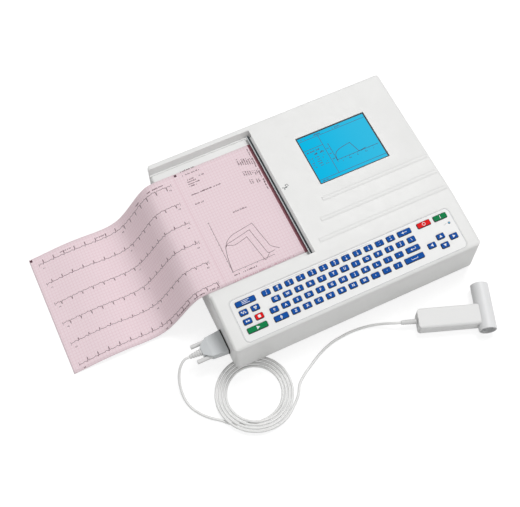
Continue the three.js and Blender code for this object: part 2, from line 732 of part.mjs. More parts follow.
// The plate under the chart, its left end wall and the two sides that slide on the tub's tracks.
function chartDrawer() {
  const left = -halfWidth + GAP;
  const plateRight = platenX - PLATEN_DIAMETER / 2 - 5.5;
  const side = new THREE.Shape();
  const bearingEnd = platenX + BUSH_DIAMETER / 2 + 1.5;
  side.moveTo(left, RUNNER_HEIGHT);
  side.lineTo(RUNNER_END_X, RUNNER_HEIGHT);
  side.lineTo(RUNNER_END_X, RUNNER_HEIGHT + 5);
  side.lineTo(bearingEnd, RUNNER_HEIGHT + 5);
  side.lineTo(bearingEnd, DRAWER_TOP - 1.2);
  side.lineTo(plateRight, DRAWER_TOP);
  side.lineTo(left + 4, DRAWER_TOP);
  side.absarc(left + 4, DRAWER_TOP - 4, 4, Math.PI / 2, Math.PI, false);
  const whole = alongY(side, drawerFront, drawerBack, 4);
  const inside = new THREE.Shape();
  inside.moveTo(left + DRAWER_PLATE, RUNNER_HEIGHT - 1);
  inside.lineTo(RUNNER_END_X + 1, RUNNER_HEIGHT - 1);
  inside.lineTo(RUNNER_END_X + 1, DRAWER_TOP + 1);
  inside.lineTo(plateRight, DRAWER_TOP + 1);
  inside.lineTo(plateRight, DRAWER_TOP - DRAWER_PLATE);
  inside.lineTo(left + DRAWER_PLATE, DRAWER_TOP - DRAWER_PLATE);
  const hollow = alongY(inside, drawerFront + sideThickness, drawerBack - sideThickness, 2);
  const bore = BUSH_DIAMETER / 2 + GAP;
  const bushHoles = rod("y", bore, drawerFront - 1, drawerBack + 1, platenX, platenZ, 24);
  return cut(whole, hollow, bushHoles);
}

// A flanged bush in one side of the drawer.
function rollerBush(inward, outward) {
  const flange = inward + Math.sign(inward - outward) * 1;
  const [bore, radius] = [SHAFT_DIAMETER / 2 + 0.1, BUSH_DIAMETER / 2];
  const gapped = inward + Math.sign(inward - outward) * GAP;
  const pairs = [
    [bore, outward], [radius, outward], [radius, gapped], [radius + 1.2, gapped],
    [radius + 1.2, flange], [bore, flange],
  ];
  if (outward > inward) pairs.reverse();
  return turned([...pairs, pairs[0]], "y", 24).translate(platenX, 0, platenZ);
}

function platenShaft() {
  const radius = SHAFT_DIAMETER / 2;
  return rod("y", radius, drawerFront + 0.2, drawerBack - 0.2, platenX, platenZ, 24);
}

function platenRoller() {
  const bore = SHAFT_DIAMETER / 2 + GAP;
  const [from, to] = [gearBack + 1, drawerBack - sideThickness - 2];
  const radius = PLATEN_DIAMETER / 2;
  const pairs = [[bore, from], [radius, from], [radius, to], [bore, to], [bore, from]];
  return turned(pairs, "y", 32).translate(platenX, 0, platenZ);
}

// A spur gear's outline: straight-sided teeth narrower than the gaps, the first pointing at turn.
function gearShape(teeth, turn, bore) {
  const pitchRadius = (GEAR_MODULE * teeth) / 2;
  const tip = pitchRadius + 0.8 * GEAR_MODULE;
  const root = pitchRadius - 1.15 * GEAR_MODULE;
  const step = (2 * Math.PI) / teeth;
  const at = (radius, angle) => [radius * Math.cos(angle), radius * Math.sin(angle)];
  const points = [];
  for (let i = 0; i < teeth; i++) {
    const middle = turn + i * step;
    points.push(at(root, middle - 0.3 * step), at(tip, middle - 0.11 * step));
    points.push(at(tip, middle + 0.11 * step), at(root, middle + 0.3 * step));
  }
  const shape = shapeOf(points);
  if (bore) shape.holes.push(new THREE.Path().absarc(0, 0, bore, 0, 2 * Math.PI, true));
  return shape;
}

function platenGear() {
  const shape = gearShape(PLATEN_TEETH, 0, SHAFT_DIAMETER / 2 + GAP);
  return alongY(shape, gearFront, gearBack, 6).translate(platenX, 0, platenZ);
}

// The motor's pinion, one piece with its shaft.
function motorPinion() {
  const gap = Math.PI / PINION_TEETH; // half a tooth round, so that a gap faces the platen gear
  const gear = alongY(gearShape(PINION_TEETH, Math.PI + gap, 0), gearFront, gearBack, 2);
  const start = wellFront - TUB_WALL - GAP - MOTOR_LENGTH + 2;
  const shaft = rod("y", 2, start, gearFront + 0.5, 0, 0, 16);
  return join(gear, shaft).translate(pinionX, 0, platenZ);
}

// ---------- chart paper ----------
// The chart's side view past the drawer's end: X from the case's side, and the height of its
// underside over the drawer's.
const CHART_PATH = [
  [4, 0], [-12, -3.4], [-26, -15.5], [-40, -34], [-54, -52], [-68, -66],
  [-84, -73.2], [-105, -74.8], [-135, -72.5], [-165, -73], [-195, -76.7], [-218, -79.2],
];

function chartSheet() {
  const bend = CHART_PATH.map(([x, z]) => new THREE.Vector2(x - halfWidth, paperBottom + z));
  const low = new THREE.SplineCurve(bend).getPoints(44);
  const points = [new THREE.Vector2(platenX + 2, paperBottom), ...low];
  const raised = points.map((point, i) => {
    const before = points[Math.max(i - 1, 0)];
    const after = points[Math.min(i + 1, points.length - 1)];
    const along = after.clone().sub(before).normalize();
    return new THREE.Vector2(
      point.x + along.y * PAPER_THICKNESS, point.y - along.x * PAPER_THICKNESS,
    );
  });
  return alongY(new THREE.Shape([...points, ...raised.reverse()]), paperFront, paperBack, 1);
}

function chartPack() {
  const right = WELL_END_X - 4;
  return block(right - PAGE_LENGTH, right, paperFront, paperBack, tubFloor + GAP, tubFloor + 18);
}

// ---------- feet ----------
function foot(x, y) {
  const top = FOOT_HEIGHT - GAP;
  const profile = [[0, 0], [8, 0], [9, 1], [9, top], [0, top]];
  return turned(profile, "z", 16).translate(x, y, 0);
}

// ---------- handset plug ----------
const plugFace = -halfWidth - 1.8; // outer face of the gasket

function sensorSocket() {
  const left = -halfWidth + GAP;
  const flangeSide = -halfWidth + TUB_WALL + GAP;
  const flange = block(
    flangeSide, flangeSide + 1.2, SOCKET_Y - 15.5, SOCKET_Y + 15.5, SOCKET_Z - 6.2, SOCKET_Z + 6.2,
  );
  const body = block(left, flangeSide + 9, SOCKET_Y - 9, SOCKET_Y + 9, SOCKET_Z - 5, SOCKET_Z + 5);
  const nuts = [-1, 1].map((side) => {
    const y = SOCKET_Y + (side * SCREW_SPACING) / 2;
    const nut = rod("x", 2.4, left + 0.2, flangeSide + 0.5, y, SOCKET_Z, 12);
    return nut;
  });
  const threads = [-1, 1].map((side) =>
    rod("x", 1.5, left - 1, flangeSide + 3, SOCKET_Y + (side * SCREW_SPACING) / 2, SOCKET_Z, 12),
  );
  return cut(join(flange, body, ...nuts), ...threads);
}

// Black rubber frame between the plug and the case.
function socketGasket() {
  const outline = roundedShape(SOCKET_Y, SOCKET_Z, PLUG_WIDTH + 1, PLUG_THICKNESS + 1, 2);
  const window = block(
    -halfWidth - 5, -halfWidth + 5, SOCKET_Y - 15.2, SOCKET_Y + 15.2, SOCKET_Z - 5.5, SOCKET_Z + 5.5,
  );
  return cut(alongX(outline, plugFace, -halfWidth - GAP, 3), window);
}

// The plug's hood: wide at the case, drawn in to the boot at its far end.
function plugHood() {
  const near = plugFace - GAP;
  const far = plugFace - PLUG_LENGTH;
  const shoulder = near - 0.66 * PLUG_LENGTH;
  const [wide, mid, narrow] = [PLUG_WIDTH / 2, PLUG_WIDTH / 2 - 2, 6.4];
  const outline = shapeOf([
    [near, SOCKET_Y - wide], [near, SOCKET_Y + wide], [shoulder, SOCKET_Y + mid],
    [far, SOCKET_Y + narrow], [far, SOCKET_Y - narrow], [shoulder, SOCKET_Y - mid],
  ]);
  const half = PLUG_THICKNESS / 2;
  const body = upright(outline, SOCKET_Z - half, SOCKET_Z + half);
  const side = shapeOf([
    [near, SOCKET_Z - half], [near, SOCKET_Z + half], [shoulder, SOCKET_Z + half],
    [far, SOCKET_Z + 6], [far, SOCKET_Z - 6], [shoulder, SOCKET_Z - half],
  ]);
  const wedge = alongY(side, SOCKET_Y - wide - 1, SOCKET_Y + wide + 1);
  const screwWays = [-1, 1].map((s) => {
    const y = SOCKET_Y + (s * SCREW_SPACING) / 2;
    return join(
      rod("x", 2.2, far - 1, near + 1, y, SOCKET_Z, 12),
      rod("x", 3.8, far - 1, near - 0.62 * PLUG_LENGTH, y, SOCKET_Z, 12),
    );
  });
  const bootHole = rod("x", 2.4, far - 1, far + 8, SOCKET_Y, SOCKET_Z, 12);
  return cut(body.intersect(wedge), ...screwWays, bootHole);
}

// A captive screw with a long ribbed head.
function thumbscrew(side) {
  const head = plugFace - GAP - 0.62 * PLUG_LENGTH - GAP;
  const tip = -halfWidth + 1;
  const profile = [
    [0, head - 25], [2.8, head - 25], [3.2, head - 24], [3.2, head - 1], [2.6, head],
    [1.8, head], [1.8, plugFace - 1], [1.2, plugFace - 0.4], [1.2, tip], [0, tip],
  ];
  const y = SOCKET_Y + (side * SCREW_SPACING) / 2;
  return turned(profile, "x", 12).translate(0, y, SOCKET_Z);
}
const plugEnd = plugFace - PLUG_LENGTH;

// Ribbed strain relief: a tapering sleeve with rings, its root held in the plug's hood.
function plugBoot() {
  const profile = [[0, plugEnd + 6], [2.1, plugEnd + 6], [2.1, plugEnd - GAP]];
  const rings = 5;
  for (let i = 0; i < rings; i++) {
    const start = plugEnd - GAP - (i * (BOOT_LENGTH - GAP)) / rings;
    const radius = 5.4 - 0.5 * i;
    profile.push([radius, start], [radius, start - 2.4], [radius - 1.2, start - 2.8]);
    profile.push([radius - 1.2, start - 3.6]);
  }
  profile.push([0, plugEnd - BOOT_LENGTH + 0.1]);
  return turned(profile.reverse(), "x", 12).translate(0, SOCKET_Y, SOCKET_Z);
}

// ---------- cord ----------
// A tube along a smooth curve through the points, with flat ends.
function cordTube(points, steps, sides = 8) {
  const knots = points.map((point) => new THREE.Vector3(...point));
  const curve = new THREE.CatmullRomCurve3(knots, false, "centripetal");
  const radius = CORD_DIAMETER / 2;
  const ring = [];
  for (let i = 0; i < sides; i++) {
    const angle = (2 * Math.PI * i) / sides;
    ring.push([radius * Math.cos(angle), radius * Math.sin(angle)]);
  }
  const options = { steps, extrudePath: curve, bevelEnabled: false };
  return new THREE.ExtrudeGeometry(shapeOf(ring), options);
}

// From the plug's boot, down to the table and round to the coil.
function cordToCoil() {
  const z = cordTableZ;
  return cordTube(
    [
      [plugEnd - BOOT_LENGTH - GAP, SOCKET_Y, SOCKET_Z], [-264, 38.6, 31.8], [-271, 35, 28.6],
      [-278, 28, 22.5], [-283.5, 17, 14.5], [-286, 4, 8], [-286, -8, 4], [-283, -21, z],
      [-276, -34, z], [-265, -47, z], [-251, -58.6, z],
    ],
    34,
  );
}

// A point on the handle's middle line, so far from its cord end.
function alongHandle(distance) {
  const [x, y] = HANDSET_PLACE;
  const [cos, sin] = [Math.cos(HANDSET_TURN), Math.sin(HANDSET_TURN)];
  return [x + distance * cos, y + distance * sin, HANDSET_HEIGHT / 2];
}

// From the coil, along the front of the case to the handset's boot.
function cordToHandset() {
  const z = cordTableZ;
  return cordTube(
    [
      [-133.4, -70.2, z], [-126, -58.5, z], [-113, -47.8, z], [-98, -39, z], [-78, -28.6, z],
      [-57, -21, z], [-37, -18, z], [-17, -17.3, z], [1, -19.2, 2.8], [17, -23.4, 5],
      [33, -30.5, 9.2], alongHandle(-HANDSET_BOOT - 7), alongHandle(-HANDSET_BOOT - GAP),
    ],
    44,
  );
}

function cordCoil() {
  const [r0, r1, h] = [COIL_INNER_RADIUS, COIL_OUTER_RADIUS, COIL_HEIGHT];
  const profile = [
    [r0, 1.5], [r0 + 1.5, 0.1], [r1 - 1.5, 0.1], [r1, 1.5],
    [r1, h - 1.5], [r1 - 1.5, h], [r0 + 1.5, h], [r0, h - 1.5],
  ];
  return turned([...profile, profile[0]], "z", 32).translate(COIL_CENTRE[0], COIL_CENTRE[1], 0);
}

// ---------- handset ----------
const handsetMiddle = HANDSET_HEIGHT / 2;

// The handle's outside, rounded along its four long edges and at its cord end.
function handleOutside() {
  const plan = new THREE.Shape();
  const [half, r] = [HANDSET_WIDTH / 2, 6];
  plan.moveTo(r, -half);
  plan.lineTo(HANDSET_LENGTH, -half);
  plan.lineTo(HANDSET_LENGTH, half);
  plan.lineTo(r, half);
  plan.absarc(r, half - r, r, Math.PI / 2, Math.PI, false);
  plan.absarc(r, -half + r, r, Math.PI, 1.5 * Math.PI, false);
  const section = roundedShape(0, handsetMiddle, HANDSET_WIDTH, HANDSET_HEIGHT, HANDSET_ROUND);
  return upright(plan, 0, HANDSET_HEIGHT, 4).intersect(alongX(section, 0, HANDSET_LENGTH, 4));
}

function tubeClearance() {
  const radius = TUBE_DIAMETER / 2 + GAP;
  return rod("y", radius, -60, 60, TUBE_AXIS_X, tubeCentreZ, 32);
}

function handleShell(from, to, hollowFrom, hollowTo) {
  const half = HANDSET_WIDTH / 2;
  const slab = block(-1, HANDSET_LENGTH + 1, -half - 1, half + 1, from, to);
  const inner = HANDSET_WIDTH / 2 - HANDSET_WALL;
  const innerEnd = TUBE_AXIS_X - TUBE_DIAMETER / 2 - GAP - 2 * HANDSET_WALL;
  const hollow = block(HANDSET_WALL + 1, innerEnd, -inner, inner, hollowFrom, hollowTo);
  const bootWay = rod("x", 3.4, -1, HANDSET_WALL + 2, 0, handsetMiddle, 12);
  return cut(handleOutside().intersect(slab), hollow, bootWay, tubeClearance());
}

function handsetTop() {
  const joint = handsetMiddle + GAP / 2;
  return handleShell(joint, HANDSET_HEIGHT + 1, joint - 1, HANDSET_HEIGHT - HANDSET_WALL);
}

function handsetBottom() {
  const joint = handsetMiddle - GAP / 2;
  return handleShell(-1, joint, HANDSET_WALL, joint + 1);
}

function handsetBoard() {
  const right = TUBE_AXIS_X - TUBE_DIAMETER / 2 - 3 * HANDSET_WALL - 2;
  const half = HANDSET_WIDTH / 2 - HANDSET_WALL - GAP;
  const plate = block(12, right, -half, half, HANDSET_WALL + GAP, HANDSET_WALL + GAP + 1.6);
  const sensor = block(right - 22, right - 6, -8, 8, HANDSET_WALL + GAP + 1, HANDSET_WALL + 8);
  return join(plate, sensor);
}

function handsetBoot() {
  const profile = [
    [0, -HANDSET_BOOT], [3.4, -HANDSET_BOOT], [4.1, -GAP], [3.1, -GAP],
    [3.1, HANDSET_WALL + 1 + GAP], [4.4, HANDSET_WALL + 1 + GAP], [4.4, 5], [0, 5],
  ];
  return turned(profile, "x", 12).translate(0, 0, handsetMiddle);
}

function flowTube() {
  const [from, to] = [TUBE_LOW_END, TUBE_LOW_END + TUBE_LENGTH];
  const [outer, bore] = [TUBE_DIAMETER / 2, TUBE_BORE / 2];
  const pairs = [
    [bore, from], [outer - 0.4, from], [outer, from + 0.6], [outer, to - 0.6],
    [outer - 0.4, to], [bore, to], [bore, from],
  ];
  return turned(pairs, "y", 32).translate(TUBE_AXIS_X, 0, tubeCentreZ);
}

// ---------- assembly ----------
addSolid("base_shell", baseShell(), "casing");
addSolid("top_cover", topCover(), "casing");
addSolid("keyboard_overlay", keyboardOverlay(), "overlay", deck);
addSolid("key_mat", keyMat(), "keyBlue", deck);
addSolid("keyboard_board", keyboardBoard(), "board", deck);
addPiece("power_lamp", powerLamp(), "lamp", deck);
for (const [name, x, v, units, colour] of functionKeys()) {
  addSolid(name, functionKey(x, v, units), colour, deck);
}
addSolid("screen_window", screenWindow(), "screenGlass");
addSolid("screen_module", screenModule(), "darkPlastic");
addSolid("main_board", mainBoard(), "board");
addSolid("power_supply", powerSupply(), "darkPlastic");
addSolid("battery_pack", batteryPack(), "darkPlastic");
addPiece("feed_motor", feedMotor(), "steel");
addSolid("motor_pinion", motorPinion(), "brass");
addSolid("print_bracket", printBracket(), "steel");
addSolid("head_pivot", headPivot(), "steel");
addSolid("print_head", printHead(), "ceramic");
addSolid("head_bar", headBar(), "aluminium");
addSolid("tear_bar", tearBar(), "steel");
addSolid("chart_drawer", chartDrawer(), "casing");
const outer = [drawerFront, drawerBack];
const inner = [drawerFront + sideThickness, drawerBack - sideThickness];
addPiece("roller_bush_front", rollerBush(inner[0], outer[0]), "brass");
addPiece("roller_bush_back", rollerBush(inner[1], outer[1]), "brass");
addSolid("platen_shaft", platenShaft(), "steel");
addPiece("platen_roller", platenRoller(), "rubber");
addSolid("platen_gear", platenGear(), "gearPlastic");
addSolid("chart_sheet", chartSheet(), "paper");
addSolid("chart_pack", chartPack(), "paper");
const footX = halfWidth - 38;
addPiece("foot_front_left", foot(-footX, 36), "rubber");
addPiece("foot_front_right", foot(footX, 36), "rubber");
addPiece("foot_rear_left", foot(-footX, CASE_DEPTH - 36), "rubber");
addPiece("foot_rear_right", foot(footX, CASE_DEPTH - 36), "rubber");
addSolid("mains_inlet", mainsInlet(), "darkPlastic");
addSolid("patient_socket", patientSocket(), "steel");
addPiece("earth_stud", earthStud(), "brass");
addSolid("sensor_socket", sensorSocket(), "darkPlastic");
addSolid("socket_gasket", socketGasket(), "rubber");
addSolid("plug_hood", plugHood(), "cord");
addPiece("thumbscrew_front", thumbscrew(-1), "cord");
addPiece("thumbscrew_rear", thumbscrew(1), "cord");
addPiece("plug_boot", plugBoot(), "cord");
addPiece("cord_to_coil", cordToCoil(), "cord");
addPiece("cord_coil", cordCoil(), "cord");
addPiece("cord_to_handset", cordToHandset(), "cord");
addSolid("handset_top", handsetTop(), "casing", handset);
addSolid("handset_bottom", handsetBottom(), "casing", handset);
addSolid("handset_board", handsetBoard(), "board", handset);
addPiece("handset_boot", handsetBoot(), "cord", handset);
addPiece("flow_tube", flowTube(), "casing", handset);

// The origin: on the table, under the middle of everything but the cord and its plug.
const ON_THE_CORD = /^(cord_|plug_|thumbscrew_|handset_boot)/;
machine.updateMatrixWorld(true);
const footprint = new THREE.Box3();
machine.traverse((piece) => {
  if (piece.isMesh && !ON_THE_CORD.test(piece.name)) footprint.expandByObject(piece, true);
});
const middle = footprint.getCenter(new THREE.Vector3());
machine.position.set(-middle.x, -middle.y, -footprint.min.z);
const part = new THREE.Group();
part.add(machine);
export default part;
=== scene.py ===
import json
import math

import bmesh
import bpy
import numpy as np
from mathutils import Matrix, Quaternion, Vector

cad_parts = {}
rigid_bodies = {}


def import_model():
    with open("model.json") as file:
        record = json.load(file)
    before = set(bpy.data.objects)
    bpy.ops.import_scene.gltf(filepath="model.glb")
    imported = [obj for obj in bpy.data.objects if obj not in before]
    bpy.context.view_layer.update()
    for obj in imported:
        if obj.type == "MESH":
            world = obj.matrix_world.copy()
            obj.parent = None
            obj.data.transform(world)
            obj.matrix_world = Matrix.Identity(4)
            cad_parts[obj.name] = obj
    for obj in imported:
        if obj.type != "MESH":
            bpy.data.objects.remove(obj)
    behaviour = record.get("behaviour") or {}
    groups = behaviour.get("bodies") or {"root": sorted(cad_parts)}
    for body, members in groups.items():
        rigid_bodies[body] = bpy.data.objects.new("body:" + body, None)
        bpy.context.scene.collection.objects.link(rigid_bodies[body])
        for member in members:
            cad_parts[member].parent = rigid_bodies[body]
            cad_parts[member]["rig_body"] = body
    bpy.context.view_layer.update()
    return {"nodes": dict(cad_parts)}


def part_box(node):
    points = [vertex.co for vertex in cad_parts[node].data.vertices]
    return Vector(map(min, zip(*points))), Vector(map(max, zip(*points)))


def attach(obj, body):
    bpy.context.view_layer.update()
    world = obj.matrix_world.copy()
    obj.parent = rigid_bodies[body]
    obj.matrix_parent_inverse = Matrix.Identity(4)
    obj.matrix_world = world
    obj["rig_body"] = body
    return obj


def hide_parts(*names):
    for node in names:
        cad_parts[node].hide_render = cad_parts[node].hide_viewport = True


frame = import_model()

nodes = frame["nodes"]

# ---------------------------------------------------------------- camera
# A desktop heart recorder, seen from its front-left and well above, as it stands on a table.
# Places are given in millimetres from the middle of the case's front edge, on the table.
case_low, case_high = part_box("base_shell")
case_middle = (case_low.x + case_high.x) / 2


def at(x, y, z):
    """Millimetres from the middle of the case's front edge, as a point of the frame in metres."""
    return Vector((case_middle + x / 1000, case_low.y + y / 1000, z / 1000))


def rows_at(points):
    """The same for an array with one point in each row."""
    return np.asarray(points, float) / 1000 + np.array([case_middle, case_low.y, 0.0])


aim = at(-87.45, 159.91, 0)
azimuth, elevation, roll = math.radians(-24.24), math.radians(64.27), math.radians(-0.99)
distance = 1.4971
back = Vector((
    math.sin(azimuth) * math.cos(elevation),
    -math.cos(azimuth) * math.cos(elevation),
    math.sin(elevation),
))
camera = bpy.data.objects.new("camera", bpy.data.cameras.new("camera"))
camera.data.sensor_width = 36
camera.data.lens = 66.49
camera.location = aim + back * distance
camera.rotation_mode = "QUATERNION"
camera.rotation_quaternion = back.to_track_quat("Z", "Y") @ Quaternion((0, 0, 1), roll)
bpy.context.collection.objects.link(camera)
bpy.context.scene.camera = camera

# ---------------------------------------------------------------- studio
# A white table that runs out of sight, a broad lamp from the upper right, a weak one from the front
# and even light all round.
# Camera, mirror and glass rays see the table and the air as white; the table keeps a faint shadow.
bpy.context.scene.view_settings.view_transform = "Standard"
AIR_LEVEL = 0.45
LAMP_LEVEL = 1.62
LAMP_FROM = (0.34, 0.30, 0.89)
FILL_LEVEL = 0.42
FILL_FROM = (0.10, -0.90, 0.42)
TABLE_BOUNCE = 0.62
TABLE_SHADOW = 0.30
TABLE_GLOW = 0.80
TABLE_SIZE = 6.0

world = bpy.data.worlds.new("air")
bpy.context.scene.world = world
world.use_nodes = True


def seen_directly(tree):
    """A socket that is 1 for rays from the camera, a mirror or glass, and 0 for light on a surface."""
    path = tree.nodes.new("ShaderNodeLightPath")
    both = tree.nodes.new("ShaderNodeMath")
    both.operation = "ADD"
    tree.links.new(path.outputs["Is Camera Ray"], both.inputs[0])
    tree.links.new(path.outputs["Is Glossy Ray"], both.inputs[1])
    every = tree.nodes.new("ShaderNodeMath")
    every.operation = "ADD"
    every.use_clamp = True
    tree.links.new(both.outputs[0], every.inputs[0])
    tree.links.new(path.outputs["Is Transmission Ray"], every.inputs[1])
    return every.outputs[0]


air = world.node_tree
air_light = air.nodes["Background"]
air_light.inputs["Strength"].default_value = AIR_LEVEL
air_white = air.nodes.new("ShaderNodeBackground")
air_mix = air.nodes.new("ShaderNodeMixShader")
for node in (air_light, air_white):
    node.inputs["Color"].default_value = (1, 1, 1, 1)
air.links.new(seen_directly(air), air_mix.inputs[0])
air.links.new(air_light.outputs[0], air_mix.inputs[1])
air.links.new(air_white.outputs[0], air_mix.inputs[2])
air.links.new(air_mix.outputs[0], air.nodes["World Output"].inputs["Surface"])

for name, level, source, spread in (
    ("key_lamp", LAMP_LEVEL, LAMP_FROM, 24),
    ("fill_lamp", FILL_LEVEL, FILL_FROM, 60),
):
    lamp = bpy.data.objects.new(name, bpy.data.lights.new(name, "SUN"))
    lamp.data.energy = level
    lamp.data.angle = math.radians(spread)
    lamp.rotation_mode = "QUATERNION"
    lamp.rotation_quaternion = Vector(source).to_track_quat("Z", "Y")
    bpy.context.collection.objects.link(lamp)

half = TABLE_SIZE / 2
table = bpy.data.objects.new("table", bpy.data.meshes.new("table"))
table.data.from_pydata(
    [(-half, -half, 0), (half, -half, 0), (half, half, 0), (-half, half, 0)], [], [(0, 1, 2, 3)]
)
bpy.context.collection.objects.link(table)
table_white = bpy.data.materials.new("table_white")
table_white.use_nodes = True
tree = table_white.node_tree
tree.nodes.clear()
bounce = tree.nodes.new("ShaderNodeBsdfDiffuse")
bounce.inputs["Color"].default_value = (TABLE_BOUNCE, TABLE_BOUNCE, TABLE_BOUNCE, 1)
shade = tree.nodes.new("ShaderNodeBsdfDiffuse")
shade.inputs["Color"].default_value = (TABLE_SHADOW, TABLE_SHADOW, TABLE_SHADOW, 1)
glow = tree.nodes.new("ShaderNodeEmission")
glow.inputs["Strength"].default_value = TABLE_GLOW
face = tree.nodes.new("ShaderNodeAddShader")
pick = tree.nodes.new("ShaderNodeMixShader")
out = tree.nodes.new("ShaderNodeOutputMaterial")
tree.links.new(shade.outputs[0], face.inputs[0])
tree.links.new(glow.outputs[0], face.inputs[1])
tree.links.new(seen_directly(tree), pick.inputs[0])
tree.links.new(bounce.outputs[0], pick.inputs[1])
tree.links.new(face.outputs[0], pick.inputs[2])
tree.links.new(pick.outputs[0], out.inputs["Surface"])
table.data.materials.append(table_white)

# ---------------------------------------------------------------- sensor lead
# A limp 4 mm lead with a smooth light grey jacket, from the plug's boot to the handset's.
# It drops to the table, is wound in loose turns that pass under the case's corner, and runs on.
LEAD_DIAMETER = 0.004
TABLE_LINE = 2.4
COIL_MIDDLE = (-190, -42)
COIL_START, COIL_END = 207, 1765
lead_from_plug = [
    (-258.1, 38.8, 32), (-264, 38.6, 31.8), (-271, 35, 28.6), (-278, 28, 22.5), (-283.5, 17, 14.5),
    (-286, 4, 8), (-286, -8, 4), (-283, -21, 2.4), (-276, -34, 2.4), (-265, -47, 2.4),
    (-251, -58.6, 2.4),
]
lead_to_handset = [
    (-133.4, -70.2, 2.4), (-126, -58.5, 2.4), (-113, -47.8, 2.4), (-98, -39, 2.4), (-78, -28.6, 2.4),
    (-57, -21, 2.4), (-37, -18, 2.4), (-17, -17.3, 2.4), (1, -19.2, 2.8), (17, -23.4, 5),
    (33, -30.5, 9.2), (45.35, -36.75, 12), (51.65, -39.03, 12),
]


def coil_turns():
    """Points of the loose coil. The turn number is the angle over 360 degrees. The radius falls from
    the lead's entry to the inner turn, then widens by about a diameter a turn. The height lies in the
    lower layer, and rises to the upper one where a later turn passes over the lead coming in."""
    angle = np.arange(COIL_START, COIL_END, 18.0)
    turn = (angle - COIL_START) / 360
    radius = 38.4 + 4.85 * turn + 19.0 * np.exp(-turn / 0.08)
    over = np.exp(-(((angle - 232 + 180) % 360 - 180) / 56.0) ** 4)
    height = TABLE_LINE + 4.15 * over * (turn > 0.55)
    a = np.radians(angle)
    x = COIL_MIDDLE[0] + radius * np.cos(a)
    y = COIL_MIDDLE[1] + radius * np.sin(a)
    return [tuple(p) for p in np.stack([x, y, height], 1)]


def curve_through(name, points, diameter):
    """One smooth open spline through the points, with a round section of that diameter."""
    curve = bpy.data.curves.new(name, "CURVE")
    curve.dimensions = "3D"
    spline = curve.splines.new("BEZIER")
    spline.bezier_points.add(len(points) - 1)
    for knot, point in zip(spline.bezier_points, points, strict=True):
        knot.co = at(*point)
        knot.handle_left_type = knot.handle_right_type = "AUTO"
    curve.resolution_u = 7
    curve.bevel_depth = diameter / 2
    curve.bevel_resolution = 4
    curve.use_fill_caps = True
    piece = bpy.data.objects.new(name, curve)
    bpy.context.collection.objects.link(piece)
    return piece


lead = curve_through("sensor_lead", lead_from_plug + coil_turns() + lead_to_handset, LEAD_DIAMETER)


def noise_of(tree, scale, detail=2.0, source="Object"):
    """Noise over the piece's own coordinates, with that many waves to the metre."""
    place = tree.nodes.new("ShaderNodeTexCoord")
    noise = tree.nodes.new("ShaderNodeTexNoise")
    noise.inputs["Scale"].default_value = scale
    noise.inputs["Detail"].default_value = detail
    tree.links.new(place.outputs[source], noise.inputs["Vector"])
    return noise.outputs["Fac"]


def spread_over(tree, value, low, high):
    """A value from 0.3 to 0.7, as most noise is, spread over low to high."""
    spread = tree.nodes.new("ShaderNodeMapRange")
    spread.inputs["From Min"].default_value = 0.3
    spread.inputs["From Max"].default_value = 0.7
    spread.inputs["To Min"].default_value = low
    spread.inputs["To Max"].default_value = high
    tree.links.new(value, spread.inputs["Value"])
    return spread.outputs["Result"]


def shades(tree, factor, first, second):
    """A colour between two, by the factor."""
    mix = tree.nodes.new("ShaderNodeMix")
    mix.data_type = "RGBA"
    tree.links.new(factor, mix.inputs["Factor"])
    for socket, colour in ((mix.inputs[6], first), (mix.inputs[7], second)):
        if isinstance(colour, tuple):
            socket.default_value = (*colour, 1)
        else:
            tree.links.new(colour, socket)
    return mix.outputs[2]


def finish_of(
    name, colour, drift=0.04, roughness=(0.4, 0.5), grain=1400, depth=0.02, metal=0.0, coat=0.0
):
    """A finish whose colour drifts by a share of itself over a few centimetres, whose roughness varies
    between two values, and whose grain is a fine bump with that many waves to the metre."""
    made = bpy.data.materials.new(name)
    made.use_nodes = True
    tree = made.node_tree
    skin = tree.nodes["Principled BSDF"]
    darker = tuple(c * (1 - drift) for c in colour)
    broad = spread_over(tree, noise_of(tree, 22), 0, 1)
    tree.links.new(shades(tree, broad, darker, colour), skin.inputs["Base Color"])
    tree.links.new(spread_over(tree, noise_of(tree, 160, 4), *roughness), skin.inputs["Roughness"])
    bump = tree.nodes.new("ShaderNodeBump")
    bump.inputs["Strength"].default_value = 0.6
    bump.inputs["Distance"].default_value = depth / 1000
    tree.links.new(noise_of(tree, grain, 3), bump.inputs["Height"])
    tree.links.new(bump.outputs[0], skin.inputs["Normal"])
    skin.inputs["Metallic"].default_value = metal
    skin.inputs["Coat Weight"].default_value = coat
    return made


def dress(piece, finish):
    """The piece takes that one finish all over."""
    piece.data.materials.clear()
    piece.data.materials.append(finish)


lead_jacket = finish_of("lead_jacket", (0.80, 0.80, 0.79), roughness=(0.32, 0.42), grain=900)
dress(lead, lead_jacket)
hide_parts("cord_to_coil", "cord_coil", "cord_to_handset")
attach(lead, "machine")

# ---------------------------------------------------------------- casing
# The tub and the cover are two warm white mouldings with a fine spark-eroded grain.
# The cover carries the lid, the rear rail and the sloping keyboard deck in one piece.
CASE_WHITE = (0.78, 0.78, 0.77)


